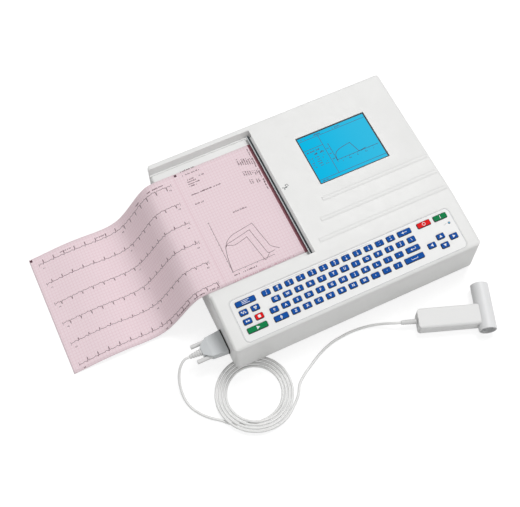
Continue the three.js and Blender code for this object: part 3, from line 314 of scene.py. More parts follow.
def soft_edged(node, name, width, segments=3, angle=28):
    """A copy of a CAD node's shape with its loose triangles joined, its flat faces cleaned, and every
    edge sharper than the angle in degrees rounded over a width in metres."""
    mesh = nodes[node].data.copy()
    shape = bmesh.new()
    shape.from_mesh(mesh)
    bmesh.ops.remove_doubles(shape, verts=shape.verts, dist=2e-6)
    bmesh.ops.dissolve_limit(
        shape, angle_limit=math.radians(0.6), verts=shape.verts, edges=shape.edges
    )
    shape.to_mesh(mesh)
    shape.free()
    mesh.shade_smooth()
    mesh.set_sharp_from_angle(angle=math.radians(angle))
    piece = bpy.data.objects.new(name, mesh)
    bpy.context.collection.objects.link(piece)
    edge = piece.modifiers.new("edge", "BEVEL")
    edge.width = width
    edge.segments = segments
    edge.limit_method = "ANGLE"
    edge.angle_limit = math.radians(angle)
    edge.use_clamp_overlap = True
    edge.harden_normals = True
    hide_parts(node)
    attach(piece, nodes[node]["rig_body"])
    return piece


casing = finish_of(
    "casing_white", CASE_WHITE, drift=0.025, roughness=(0.42, 0.52), grain=1500, depth=0.05
)
for node, name in (("top_cover", "cover_moulding"), ("base_shell", "tub_moulding")):
    shell = soft_edged(node, name, 0.0006)
    dress(shell, casing)
drawer_plate = soft_edged("chart_drawer", "drawer_moulding", 0.0004, segments=2)
dress(drawer_plate, casing)

# ---------------------------------------------------------------- keyboard
# Blue silicone caps stand through a printed white panel, four rows of letters between two clusters.
# The letters share one moulded mat; the recorder, power and arrow keys are caps of their own.
SLOPE = math.radians(7)
DECK_EDGE_Y, DECK_EDGE_Z = 88.0, 90.0
KEY_STEP, ROW_STEP, BACK_ROW, FIRST_KEY = 18.35, 13.9, -26.4, -123.2
CAP_WIDTH, CAP_DEPTH, CAP_CORNER, CAP_TOP = 12.6, 8.5, 1.3, 1.5
LEFT_MIDDLE, RIGHT_MIDDLE = -155.8, 148.0
KEY_BLUE, KEY_RED, KEY_GREEN = (0.0, 0.078, 0.37), (0.80, 0.006, 0.008), (0.0, 0.21, 0.062)
# The caps' rim colour is partly their own unprinted dark rim and partly painted shade of the gap round each
# cap.
RIM_DARK_AND_GAP_SHADE = (0.035, 0.035, 0.045)
MAT_HALF_DEPTH, MAT_FOOT, MAT_FACE = 27.3, -4.4, -3.2
FLANGE_REACH, FLANGE_FOOT, FLANGE_FACE = 1.2, -3.0, -2.0
ARROW_RISE = 7.4
LEGEND_WHITE = (0.82, 0.84, 0.86)


def on_deck(points):
    """Places on the keyboard deck, as (x, up the slope, above it) in rows, turned up by the slope
    about the deck's back edge and given in metres."""
    p = np.asarray(points, float)
    y = DECK_EDGE_Y + p[..., 1] * math.cos(SLOPE) - p[..., 2] * math.sin(SLOPE)
    z = DECK_EDGE_Z + p[..., 1] * math.sin(SLOPE) + p[..., 2] * math.cos(SLOPE)
    return rows_at(np.stack([p[..., 0], y, z], -1))


def cap_rings(x, v, units, foot=-2.4):
    """A key cap as rings of points: a rectangle with round corners, drawn in a little further at each
    height, from its foot up over a rolled rim to a face that is dished towards its middle."""
    rise = np.array([foot, 0.55, 0.95, 1.28, 1.46, CAP_TOP, 1.44, 1.38])
    inset = np.array([0.0, 0.0, 0.06, 0.20, 0.42, 0.80, 2.0, 3.2])[:, None]
    turn = (np.arange(40) + 0.5) * math.tau / 40
    half_x = (CAP_WIDTH + (units - 1) * KEY_STEP) / 2 - CAP_CORNER
    half_v = CAP_DEPTH / 2 - CAP_CORNER
    corner = np.maximum(CAP_CORNER - inset, 0.1)
    pull = np.maximum(inset - CAP_CORNER, 0)
    ring_x = x + np.sign(np.cos(turn)) * (half_x - pull) + corner * np.cos(turn)
    ring_v = v + np.sign(np.sin(turn)) * (half_v - pull) + corner * np.sin(turn)
    return np.stack([ring_x, ring_v, np.broadcast_to(rise[:, None], ring_x.shape)], -1)


def lofted(name, stacks, smooth=True):
    """A mesh of closed skins, one for each stack of rings. Every ring is joined to the next by
    four-sided faces, and the first and the last ring are closed by one face each. The attribute
    called step runs from 0 at a stack's first ring to 1 at its last."""
    verts, faces, steps, start = [], [], [], 0
    for rings in stacks:
        count, around = rings.shape[:2]
        index = start + np.arange(count * around).reshape(count, around)
        beside = np.roll(index, -1, axis=1)
        quads = np.stack([index[:-1], beside[:-1], beside[1:], index[1:]], -1).reshape(-1, 4)
        faces += quads.tolist() + [index[0, ::-1].tolist(), index[-1].tolist()]
        verts.append(rings.reshape(-1, 3))
        steps.append(np.repeat(np.linspace(0, 1, count), around))
        start += count * around
    mesh = bpy.data.meshes.new(name)
    mesh.from_pydata(np.concatenate(verts).tolist(), [], faces)
    if smooth:
        mesh.shade_smooth()
        mesh.set_sharp_from_angle(angle=math.radians(40))
    layer = mesh.attributes.new("step", "FLOAT", "POINT")
    layer.data.foreach_set("value", np.concatenate(steps).astype(np.float32))
    piece = bpy.data.objects.new(name, mesh)
    bpy.context.collection.objects.link(piece)
    return piece


def value_of(tree, operation, first, second=0.5, clamp=False):
    """One arithmetic step on sockets or numbers."""
    step = tree.nodes.new("ShaderNodeMath")
    step.operation = operation
    step.use_clamp = clamp
    for socket, value in zip(step.inputs, (first, second), strict=False):
        if isinstance(value, (int, float)):
            socket.default_value = value
        else:
            tree.links.new(value, socket)
    return step.outputs[0]


def attribute_of(tree, name):
    """A number that the mesh carries at its points."""
    reader = tree.nodes.new("ShaderNodeAttribute")
    reader.attribute_name = name
    return reader.outputs["Fac"]


def silicone(name, colour):
    """Matt silicone, nearly black from the rolled rim down: partly the cap's unprinted rim, partly painted
    shade of the gap round each cap.
    """
    made = finish_of(name, colour, drift=0.08, roughness=(0.55, 0.66), grain=1100, depth=0.03)
    tree = made.node_tree
    skin = tree.nodes["Principled BSDF"]
    plain = skin.inputs["Base Color"].links[0].from_socket
    skin.inputs["Specular IOR Level"].default_value = 0.12
    # The dark below the rim is partly the cap's unprinted rim and partly painted shade of the gap round the
    # cap.
    top = value_of(tree, "GREATER_THAN", attribute_of(tree, "step"), 0.62)
    tree.links.new(shades(tree, top, RIM_DARK_AND_GAP_SHADE, plain), skin.inputs["Base Color"])
    return made


def row_at(row):
    """The distance up the deck of a row's middle, counted from the back row."""
    return BACK_ROW - row * ROW_STEP


def key_x(place):
    """The sideways place of a key, counted in key steps from the first."""
    return FIRST_KEY + place * KEY_STEP


letter_keys = [(key_x(i), row_at(0), 1, "1234567890-="[i], "!@#$%^&*()_+"[i]) for i in range(12)]
letter_keys += [(key_x(12.25), row_at(0), 1.5, "<", "")]
letter_keys += [(key_x(0.5 + i), row_at(1), 1, "QWERTYUIOP[]\\"[i], "") for i in range(13)]
letter_keys += [(key_x(i), row_at(2), 1, "*ASDFGHJKL;'"[i], "") for i in range(12)]
letter_keys += [(key_x(12.25), row_at(2), 1.5, "", ""), (key_x(0.25), row_at(3), 1.5, "", "")]
letter_keys += [(key_x(1.5 + i), row_at(3), 1, "ZXCVBNM,./"[i], "") for i in range(10)]
letter_keys += [(key_x(12), row_at(3), 2, "", "")]
blue = silicone("key_blue", KEY_BLUE)
web = np.array([(-1, -1), (1, -1), (1, 1), (-1, 1)])
web_low, web_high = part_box("key_mat")
mat_half = (web_high.x - web_low.x) / 2 * 1000
mat_x = ((web_low.x + web_high.x) / 2 - case_middle) * 1000
mat_sheet = np.stack([
    np.column_stack([
        mat_x + web[:, 0] * mat_half, row_at(1.5) - 0.5 + web[:, 1] * MAT_HALF_DEPTH, np.full(4, height)
    ])
    for height in (MAT_FOOT, MAT_FACE)
])
key_caps = lofted("letter_keys", [on_deck(cap_rings(*key[:3], foot=-3.4)) for key in letter_keys])
dress(key_caps, blue)
key_web = lofted("key_mat_web", [on_deck(mat_sheet)])
dress(key_web, blue)
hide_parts("key_mat")
for piece in (key_caps, key_web):
    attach(piece, "machine")

half_step = KEY_STEP / 2
arrow_row = row_at(2.5)
separate_keys = {
    "key_print_mode": (LEFT_MIDDLE, row_at(0), 2, "blue"),
    "key_filter": (LEFT_MIDDLE - half_step, row_at(1), 1, "blue"),
    "key_leads": (LEFT_MIDDLE + half_step, row_at(1), 1, "blue"),
    "key_speed": (LEFT_MIDDLE - half_step, row_at(2), 1, "blue"),
    "key_stop": (LEFT_MIDDLE + half_step, row_at(2), 1, "red"),
    "key_start": (LEFT_MIDDLE, row_at(3), 2, "green"),
    "key_off": (RIGHT_MIDDLE - 0.75 * KEY_STEP, row_at(0), 1.5, "red"),
    "key_on": (RIGHT_MIDDLE + 0.75 * KEY_STEP, row_at(0), 1.5, "green"),
    "key_up": (RIGHT_MIDDLE, arrow_row + ARROW_RISE, 1, "blue"),
    "key_left": (RIGHT_MIDDLE - KEY_STEP, arrow_row, 1, "blue"),
    "key_right": (RIGHT_MIDDLE + KEY_STEP, arrow_row, 1, "blue"),
    "key_down": (RIGHT_MIDDLE, arrow_row - ARROW_RISE, 1, "blue"),
}
cap_finish = {
    "blue": blue,
    "red": silicone("key_red", KEY_RED),
    "green": silicone("key_green", KEY_GREEN),
}
for node, (x, v, units, colour) in separate_keys.items():
    half_x = (CAP_WIDTH + (units - 1) * KEY_STEP) / 2 + FLANGE_REACH
    flange = np.stack([
        np.column_stack([
            x + web[:, 0] * half_x, v + web[:, 1] * (CAP_DEPTH / 2 + 1), np.full(4, height)
        ])
        for height in (FLANGE_FOOT, FLANGE_FACE)
    ])
    cap = lofted(node + "_cap", [on_deck(cap_rings(x, v, units)), on_deck(flange)])
    dress(cap, cap_finish[colour])
    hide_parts(node)
    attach(cap, nodes[node]["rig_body"])

# ---------------------------------------------------------------- key legends
# White ink on the caps: generic figures and letters, plain symbols, arrows and shapes.
LEGEND_LIFT = CAP_TOP + 0.02
STROKE = 0.75


def glyph(text, size):
    """A letter's outline as a flat mesh about its own middle: its points and its faces."""
    curve = bpy.data.curves.new("glyph", "FONT")
    curve.body = text
    curve.size = size
    curve.resolution_u = 3
    curve.offset = 0.035 * size
    letter = bpy.data.objects.new("glyph", curve)
    bpy.context.collection.objects.link(letter)
    mesh = letter.to_mesh()
    points = np.empty(len(mesh.vertices) * 3)
    mesh.vertices.foreach_get("co", points)
    points = points.reshape(-1, 3)[:, :2]
    faces = [tuple(face.vertices) for face in mesh.polygons]
    letter.to_mesh_clear()
    bpy.data.objects.remove(letter)
    bpy.data.curves.remove(curve)
    middle = (points.min(0) + points.max(0)) / 2
    return points - middle, faces


def ribbon(line, width):
    """A flat band of that width along a line of points: each point is moved to both sides across the
    line's own direction there."""
    line = np.asarray(line, float)
    way = np.gradient(line, axis=0)
    way /= np.maximum(np.linalg.norm(way, axis=1, keepdims=True), 1e-9)
    across = np.stack([-way[:, 1], way[:, 0]], 1) * width / 2
    points = np.concatenate([line + across, line - across])
    count = len(line)
    first = np.arange(count - 1)
    faces = np.stack([first + count, first + count + 1, first + 1, first], 1)
    return points, [tuple(face) for face in faces.tolist()]


def disc(x, y, radius_x, radius_y=None, sides=20, turn=0.0):
    """A flat round, or a polygon with few sides, about a place."""
    angle = np.arange(sides) * math.tau / sides + turn
    points = np.stack([
        x + radius_x * np.cos(angle), y + (radius_y or radius_x) * np.sin(angle)
    ], 1)
    return points, [tuple(range(sides))]


def printed(name, shapes, place, finish, body):
    """One flat mesh of many printed shapes, each given as its points and its faces in the plane of
    the print, and carried by place() to the surface."""
    verts, faces, start = [], [], 0
    for points, corners in shapes:
        verts.append(points)
        faces += [tuple(start + i for i in face) for face in corners]
        start += len(points)
    mesh = bpy.data.meshes.new(name)
    mesh.from_pydata(place(np.concatenate(verts)).tolist(), [], faces)
    piece = bpy.data.objects.new(name, mesh)
    bpy.context.collection.objects.link(piece)
    dress(piece, finish)
    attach(piece, body)
    return piece


def moved(shape, x, y):
    """The same print at another place."""
    return shape[0] + np.array([x, y]), shape[1]


def on_caps(points, lift=LEGEND_LIFT):
    """Places on the key caps' faces, or at another height over the deck."""
    return on_deck(np.column_stack([points, np.full(len(points), lift)]))


legend_ink = finish_of(
    "legend_ink", LEGEND_WHITE, drift=0.03, roughness=(0.5, 0.6), grain=2200, depth=0.01
)
legends = []
for x, v, _, lower, upper in letter_keys:
    if upper:
        legends += [moved(glyph(lower, 4.0), x, v - 1.75), moved(glyph(upper, 3.4), x, v + 1.95)]
    elif lower == "*":
        legends += [
            ribbon([(x - 1.6, v), (x, v + 1.8), (x + 1.6, v)], STROKE),
            ribbon([(x, v - 2.2), (x, v + 0.6)], STROKE),
        ]
    elif lower == "<":
        legends += [
            disc(x - 2.6, v, 2.2, sides=3, turn=math.pi),
            ribbon([(x - 1.5, v), (x + 4.0, v)], STROKE),
        ]
    elif lower:
        legends += [moved(glyph(lower, 5.2), x, v)]
enter_x, enter_v = key_x(12.25), row_at(2)
shift_x, space_x, front_v = key_x(0.25), key_x(12), row_at(3)
legends += [
    ribbon([
        (enter_x + 4.0, enter_v + 2.2), (enter_x + 4.0, enter_v - 0.6), (enter_x - 1.0, enter_v - 0.6)
    ], STROKE),
    disc(enter_x - 2.6, enter_v - 0.6, 2.0, sides=3, turn=math.pi),
    disc(shift_x, front_v + 0.8, 2.3, sides=3, turn=math.pi / 2),
    ribbon([(shift_x, front_v - 2.6), (shift_x, front_v + 0.4)], 1.5),
    ribbon([
        (space_x - 5.0, front_v + 1.0), (space_x - 5.0, front_v - 1.0),
        (space_x + 5.0, front_v - 1.0), (space_x + 5.0, front_v + 1.0),
    ], STROKE),
]
printed("letter_legends", legends, on_caps, legend_ink, "machine")

wave = np.linspace(-3.6, 3.6, 25)
symbols = {
    "key_print_mode": [
        ribbon([(-6, v), (end, v)], STROKE) for v, end in ((2.2, 6), (0, 3), (-2.2, 6))
    ],
    "key_filter": [ribbon(np.stack([wave, 1.8 * np.sin(wave * 1.75)], 1), STROKE)],
    "key_leads": [
        disc(-1.0, 0.7, 1.5), disc(1.0, 0.7, 1.5), disc(0, -0.7, 2.5, 2.3, sides=3, turn=-math.pi / 2)
    ],
    "key_speed": [disc(-1.6, 0, 2.0, sides=3), disc(1.8, 0, 2.0, sides=3)],
    "key_stop": [disc(0, 0, 2.9, sides=4, turn=math.pi / 4)],
    "key_start": [disc(0.4, 0, 3.1, sides=3)],
    "key_off": [ribbon(disc(0, 0, 2.3, sides=24)[0][np.arange(25) % 24], STROKE)],
    "key_on": [ribbon([(0, -2.6), (0, 2.6)], 1.0)],
    "key_up": [disc(0, -0.4, 2.8, sides=3, turn=math.pi / 2)],
    "key_left": [disc(0.4, 0, 2.8, sides=3, turn=math.pi)],
    "key_right": [disc(-0.4, 0, 2.8, sides=3)],
    "key_down": [disc(0, 0.4, 2.8, sides=3, turn=-math.pi / 2)],
}
for node, marks in symbols.items():
    x, v = separate_keys[node][:2]
    shapes = [moved(mark, x, v) for mark in marks]
    printed(node + "_symbol", shapes, on_caps, legend_ink, nodes[node]["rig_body"])

# ---------------------------------------------------------------- keyboard panel
# A white printed plate with a hole for each cap, a thin grey line round its edge, short brackets over
# the back row, a wave mark by the mains lamp, and the lamp's blue lens.
PANEL_LIFT = -0.085
BRACKET_FOOT, BRACKET_TOP, BRACKET_LINE = 5.6, 6.8, 0.35
PANEL_HALF, PANEL_LOW, PANEL_HIGH, PANEL_CORNER = 178.6, -83.2, -17.0, 7.0
LAMP_X, LAMP_V = 170.4, -39.6

panel_white = finish_of(
    "panel_white", (0.80, 0.80, 0.795), drift=0.02, roughness=(0.34, 0.42), grain=700, depth=0.03
)
dress(nodes["keyboard_overlay"], panel_white)
grey_ink = finish_of(
    "grey_ink", (0.42, 0.44, 0.46), drift=0.05, roughness=(0.5, 0.6), grain=1800, depth=0.01
)


def on_panel(points):
    """Places on the printed plate."""
    return on_caps(points, PANEL_LIFT)


turn = (np.arange(64) + 0.5) * math.tau / 64
edge_x = np.sign(np.cos(turn)) * (PANEL_HALF - PANEL_CORNER) + PANEL_CORNER * np.cos(turn)
edge_v = (PANEL_LOW + PANEL_HIGH) / 2 + np.sign(np.sin(turn)) * (
    (PANEL_HIGH - PANEL_LOW) / 2 - PANEL_CORNER
) + PANEL_CORNER * np.sin(turn)
edge_line = np.stack([edge_x, edge_v], 1)[np.arange(65) % 64]
marks = [ribbon(edge_line, 0.45)]
for first, last in ((0, 1), (2, 4), (5, 7), (8, 9)):
    left, right = key_x(first) - 5, key_x(last) + 5
    foot, top = row_at(0) + BRACKET_FOOT, row_at(0) + BRACKET_TOP
    marks.append(ribbon([(left, foot), (left, top)], BRACKET_LINE))
    marks.append(ribbon([(left, top), (right, top)], BRACKET_LINE))
    marks.append(ribbon([(right, top), (right, foot)], BRACKET_LINE))
tilde = np.linspace(-2.2, 2.2, 17)
marks.append(ribbon(np.stack([LAMP_X - 6.6 + tilde, LAMP_V + 0.8 * np.sin(tilde * 1.43)], 1), 0.6))
printed("panel_print", marks, on_panel, grey_ink, "machine")
lamp_blue = finish_of("lamp_blue", (0.02, 0.24, 0.42), drift=0.05, roughness=(0.12, 0.2), grain=900)
dress(nodes["power_lamp"], lamp_blue)

# ---------------------------------------------------------------- display
# A blue graphic display under a glossy window with a black printed border, flush in the lid.
# It shows a breathing loop over its axes, a small table, and a header and footer line.
BORDER = 1.9
BLUE_LEFT, BLUE_RIGHT = (0.0, 0.455, 0.745), (0.03, 0.48, 0.735)
window_low, window_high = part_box("screen_window")
WINDOW_TOP = window_high.z * 1000
window_corner = (np.array([window_low.x, window_low.y]) - [case_middle, case_low.y]) * 1000
window_size = (np.array([window_high.x, window_high.y]) - [window_low.x, window_low.y]) * 1000


def on_window(points, lift=0.02):
    """Places on the window, from its front left corner, a little above its face."""
    flat = np.asarray(points, float) + window_corner
    return rows_at(np.column_stack([flat, np.full(len(flat), WINDOW_TOP + lift)]))


def slab_rings(low, high, corner, edge):
    """A flat plate as rings: a rectangle with round corners at its foot, its wall and its face, whose
    edge is drawn in by a small round."""
    turn = (np.arange(32) + 0.5) * math.tau / 32
    middle = (low[:2] + high[:2]) / 2
    half = (high[:2] - low[:2]) / 2 - corner
    rise = np.array([low[2], high[2] - edge, high[2] - 0.3 * edge, high[2]])
    radius = corner - np.array([0, 0, 0.3, 1.0]) * edge
    x = middle[0] + np.sign(np.cos(turn)) * half[0] + radius[:, None] * np.cos(turn)
    y = middle[1] + np.sign(np.sin(turn)) * half[1] + radius[:, None] * np.sin(turn)
    return np.stack([x, y, np.broadcast_to(rise[:, None], x.shape)], -1)


window_low_mm = np.array([*window_corner, window_low.z * 1000])
window_high_mm = np.array([*(window_corner + window_size), WINDOW_TOP])
window_rings = rows_at(slab_rings(window_low_mm, window_high_mm, 0.7, 0.25))
window = lofted("display_window", [window_rings], smooth=False)
glass_black = finish_of("window_border", (0.006, 0.006, 0.008), roughness=(0.22, 0.30), grain=600, depth=0.01)
glass_black.node_tree.nodes["Principled BSDF"].inputs["Specular IOR Level"].default_value = 0.12
dress(window, glass_black)
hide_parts("screen_window")
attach(window, "machine")

display_blue = bpy.data.materials.new("display_blue")
display_blue.use_nodes = True
tree = display_blue.node_tree
skin = tree.nodes["Principled BSDF"]
skin.inputs["Base Color"].default_value = (0.0, 0.03, 0.05, 1)
skin.inputs["Roughness"].default_value = 0.30
skin.inputs["Specular IOR Level"].default_value = 0.012
place = tree.nodes.new("ShaderNodeTexCoord")
split = tree.nodes.new("ShaderNodeSeparateXYZ")
tree.links.new(place.outputs["Object"], split.inputs[0])
across = tree.nodes.new("ShaderNodeMapRange")
across.inputs["From Min"].default_value = window_low.x
across.inputs["From Max"].default_value = window_high.x
across.interpolation_type = "SMOOTHSTEP"
tree.links.new(split.outputs["X"], across.inputs["Value"])
cells = spread_over(tree, noise_of(tree, 900, 2), 0.97, 1.03)
tint = shades(tree, across.outputs[0], BLUE_LEFT, BLUE_RIGHT)
tree.links.new(tint, skin.inputs["Emission Color"])
tree.links.new(value_of(tree, "MULTIPLY", cells, 0.97), skin.inputs["Emission Strength"])
wide, tall = window_size
field = np.array([
    (BORDER, BORDER), (wide - BORDER, BORDER), (wide - BORDER, tall - BORDER), (BORDER, tall - BORDER)
])
printed("display_field", [(field, [(0, 1, 2, 3)])], on_window, display_blue, "machine")

display_ink = finish_of(
    "display_ink", (0.012, 0.03, 0.10), drift=0.1, roughness=(0.5, 0.6), grain=900, depth=0.005
)
LINE, THIN = 0.75, 0.5
HEADER_DROP, HEADER_PRINT, FOOTER_LINE = 8.2, 6.4, 7.2
rng = np.random.default_rng(7)


def text_marks(start, end, size, fill=0.75):
    """Marks like a row of small print: short upright bars of uneven width and height between two
    places, with a share of them left out as spaces."""
    start, end = np.asarray(start, float), np.asarray(end, float)
    length = np.linalg.norm(end - start)
    way = (end - start) / length
    up = np.array([-way[1], way[0]])
    count = max(int(length / (size * 0.62)), 1)
    width = size * (0.30 + 0.25 * rng.random(count))
    place = (np.arange(count) + 0.5) * length / count
    kept = rng.random(count) < fill
    shapes = []
    for at_mm, w, rise in zip(place[kept], width[kept], 0.5 + 0.5 * rng.random(kept.sum()), strict=True):
        low = start + way * (at_mm - w / 2)
        shapes.append((np.stack([
            low, low + way * w, low + way * w + up * size * rise, low + up * size * rise
        ]), [(0, 1, 2, 3)]))
    return shapes


loop = np.array([
    (42.5, 28.3), (43.0, 33), (44.5, 38), (47.5, 41.8), (53, 44.5), (60, 46.2), (67, 47.4), (73.5, 48.2)
])
loop_curve = np.stack([
    np.interp(np.linspace(0, 1, 60), np.linspace(0, 1, len(loop)), loop[:, k]) for k in (0, 1)
], 1)
shapes = [
    ribbon([(BORDER, tall - HEADER_DROP), (wide - BORDER, tall - HEADER_DROP)], LINE),
    ribbon([(BORDER, FOOTER_LINE), (wide - BORDER, FOOTER_LINE)], LINE),
    ribbon([(34.5, FOOTER_LINE), (34.5, tall - HEADER_DROP)], LINE),
    ribbon([(BORDER, 62.5), (34.5, 62.5)], LINE),
    ribbon([(42.3, 24.5), (42.3, 61.0)], LINE),
    ribbon([(42.3, 28.3), (113, 28.3)], LINE),
    ribbon(loop_curve, 0.9),
    ribbon([(73.3, 48.2), (79.5, 28.8), (84.5, 28.6), (92, 30.0)], 0.9),
]
shapes += [ribbon([(x, 26.6), (x, 28.3)], THIN) for x in np.arange(49.0, 113.0, 6.8)]
shapes += [ribbon([(40.8, y), (42.3, y)], THIN) for y in np.arange(28.3, 61.0, 5.2)]
for start, end in ((4.5, 14), (26, 40), (58, 76)):
    shapes += text_marks((start, tall - HEADER_PRINT), (end, tall - HEADER_PRINT), 3.0)
shapes += text_marks((4.5, 3.0), (20, 3.0), 2.6)
shapes += text_marks((4.5, 56.5), (28, 56.5), 3.0)
shapes += text_marks((13.5, 50.5), (20, 50.5), 3.4, fill=1) + text_marks((24, 50.5), (31, 50.5), 3.4, fill=1)
for row in range(5):
    y = 45.0 - 4.0 * row
    shapes += text_marks((4.0, y), (9.5, y), 2.4) + text_marks((13.5, y), (20, y), 2.4)
    shapes += text_marks((24, y), (29, y), 2.2, fill=0.6)
for x in np.arange(47.0, 112.0, 13.6):
    shapes += text_marks((x, 22.6), (x + 4.2, 22.6), 2.4)
for y in np.arange(31.5, 60.0, 10.4):
    shapes += text_marks((36.4, y), (39.8, y), 2.4, fill=1)
printed("display_print", shapes, lambda p: on_window(p, 0.05), display_ink, "machine")

# ---------------------------------------------------------------- chart paper
# Thin pink chart, 204 mm wide, with a fine grid. It lies on the drawer, leaves over its end in one
# long bend and lies out on the table. The recorder has burnt its traces in dark violet. A dark rose
# strip at the chart's inner end is a painted shadow of the slot under the lid's edge.
PAPER_THICK = 0.14
PAPER_PINK, GRID_PINK = (0.845, 0.705, 0.742), (0.715, 0.485, 0.545)
# Painted shadow: the dark rose colour of the chart's strip beside the lid's edge, standing in for the shade
# in the slot; it moves with the paper.
SHADOW_ROSE = (0.33, 0.13, 0.155)
INK_VIOLET = (0.070, 0.018, 0.032)
SHADOW_BAND_END = 22.6
PERFORATION = 148.2
FLAT_END, FLAT_STEP = -195.9, 4.0
chart_low, chart_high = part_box("chart_sheet")
CHART_BACK = (chart_high.y - case_low.y) * 1000
PAPER_WIDE = (chart_high.y - chart_low.y) * 1000
CHART_RIGHT = (chart_high.x - case_middle) * 1000
CHART_LEVEL = 79.8
bend = np.array([
    (-196, 0), (-212, -3.4), (-226, -15.5), (-240, -34), (-254, -52), (-268, -66),
    (-284, -73.2), (-305, -74.8), (-335, -72.5), (-365, -73), (-395, -76.7), (-418, -79.2),
], float) + (0, CHART_LEVEL)


def even_curve(knots, steps):
    """A curve through the knots: between two of them, a cubic whose slopes come from the knots on
    either side, the same share of the way for every stretch."""
    full = np.concatenate([knots[:1], knots, knots[-1:]])
    part = np.arange(steps) / steps
    a, b, c, d = (full[k:len(full) - 3 + k, None, :] for k in range(4))
    t = part[None, :, None]
    pieces = 0.5 * (
        2 * b + (c - a) * t + (2 * a - 5 * b + 4 * c - d) * t**2 + (3 * b - a - 3 * c + d) * t**3
    )
    return np.concatenate([pieces.reshape(-1, 2), knots[-1:]])


flat_x = np.arange(CHART_RIGHT, FLAT_END, -FLAT_STEP)
flat_run = np.column_stack([flat_x, np.full(len(flat_x), CHART_LEVEL)])
side_view = np.concatenate([flat_run, even_curve(bend, 12)])
run = np.concatenate([[0], np.cumsum(np.linalg.norm(np.diff(side_view, axis=0), axis=1))])
CHART_LONG = float(run[-1])
slope = np.gradient(side_view, run, axis=0)
normal = np.stack([slope[:, 1], -slope[:, 0]], 1)
normal /= np.linalg.norm(normal, axis=1, keepdims=True)


def on_chart(points, lift=0.30):
    """Places on the chart, from the run along it from its inner end, and the distance from its back
    edge, lifted off its underside across the paper."""
    p = np.asarray(points, float)
    x, z, nx, nz = (
        np.interp(p[..., 0], run, column)
        for column in (side_view[:, 0], side_view[:, 1], normal[:, 0], normal[:, 1])
    )
    return rows_at(np.stack([x + nx * lift, CHART_BACK - p[..., 1], z + nz * lift], -1))


lengths = np.linspace(0, CHART_LONG, 150)
widths = np.linspace(0, PAPER_WIDE, 30)
grid = np.stack(np.meshgrid(lengths, widths, indexing="ij"), -1)
count = len(lengths) * len(widths)
index = np.arange(count).reshape(len(lengths), len(widths))
quads = np.stack([index[:-1, :-1], index[:-1, 1:], index[1:, 1:], index[1:, :-1]], -1).reshape(-1, 4)
mesh = bpy.data.meshes.new("chart_paper")
mesh.from_pydata(on_chart(grid, 0.12).reshape(-1, 3).tolist(), [], quads[:, ::-1].tolist())
mesh.shade_smooth()
along = mesh.uv_layers.new(name="paper")
corners = np.empty(len(mesh.loops), int)
mesh.loops.foreach_get("vertex_index", corners)
along.data.foreach_set("uv", (grid.reshape(-1, 2)[corners] / 1000).ravel())
paper = bpy.data.objects.new("chart_paper", mesh)
bpy.context.collection.objects.link(paper)
wall = paper.modifiers.new("thickness", "SOLIDIFY")
wall.thickness = PAPER_THICK / 1000
wall.offset = 1

chart_pink = finish_of("chart_pink", PAPER_PINK, drift=0.02, roughness=(0.72, 0.82), grain=1900, depth=0.02)
tree = chart_pink.node_tree
skin = tree.nodes["Principled BSDF"]
skin.inputs["Specular IOR Level"].default_value = 0.25
page = tree.nodes.new("ShaderNodeUVMap")
page.uv_map = "paper"
split = tree.nodes.new("ShaderNodeSeparateXYZ")
tree.links.new(page.outputs[0], split.inputs[0])


def ruled(tree, position, pitch, width):
    """1 on the lines of a ruling with that pitch and width in metres, 0 between them."""
    turns = value_of(tree, "DIVIDE", position, pitch)
    from_line = value_of(tree, "SUBTRACT", value_of(tree, "FRACT", turns, 0), 0.5)
    off = value_of(tree, "ABSOLUTE", from_line, 0)
    return value_of(tree, "GREATER_THAN", off, 0.5 - width / pitch / 2)


def ruled_both_ways(pitch, width, strength):
    """A grid of that pitch and line width in metres, at that share of its full colour."""
    lines = [ruled(tree, split.outputs[way], pitch, width) for way in "XY"]
    return value_of(tree, "MULTIPLY", value_of(tree, "MAXIMUM", *lines), strength)


coarse = ruled_both_ways(0.005, 0.0006, 0.62)
fine = ruled_both_ways(0.001, 0.00018, 0.32)
share = value_of(tree, "MAXIMUM", coarse, fine)
plain = skin.inputs["Base Color"].links[0].from_socket
lined = shades(tree, share, plain, GRID_PINK)
fold = value_of(tree, "COMPARE", split.outputs["X"], PERFORATION / 1000)
fold.node.inputs[2].default_value = 0.0004
lined = shades(tree, value_of(tree, "MULTIPLY", fold, 0.75), lined, GRID_PINK)
# Painted shadow: the chart is dark rose from its inner end up to the band's end, for the shade under the
# lid's edge.
band = value_of(tree, "LESS_THAN", split.outputs["X"], SHADOW_BAND_END / 1000)
tree.links.new(shades(tree, band, lined, SHADOW_ROSE), skin.inputs["Base Color"])
dress(paper, chart_pink)
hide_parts("chart_sheet")
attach(paper, "chart_drawer")

TRACE, BEAT = 0.62, 17.4
TRACE_TOP, TRACE_STEP = 15.5, 35.6
TRACE_FROM, LEADS_CHANGE, TRACE_TO = 158.0, 272.0, CHART_LONG - 12.0
LAST_COLUMN = 400
trace_ink = finish_of(
    "trace_ink", INK_VIOLET, drift=0.15, roughness=(0.6, 0.7), grain=1500, depth=0.005
)


def beat_line(run_mm, lead):
    """A heart trace over the run: each beat has a small rise before it, one narrow spike up or down,
    and a broad low rise after it; the middle line wanders a little."""
    phase = (run_mm / BEAT + 0.07 * lead) % 1
    up = np.where(run_mm > LEADS_CHANGE, 1.0, -1.0) * (1, 0.75, -0.7, -0.8, 0.6, 0.9)[lead]

    def hump(height, middle, width):
        return height * np.exp(-(((phase - middle) / width) ** 2))

    spike = hump(7.5, 0.50, 0.026) - hump(1.6, 0.56, 0.02)
    waves = hump(0.8, 0.34, 0.05) + hump(1.3, 0.80, 0.08)
    return up * spike + waves + 0.5 * np.sin(run_mm / 31 + 2 * lead)


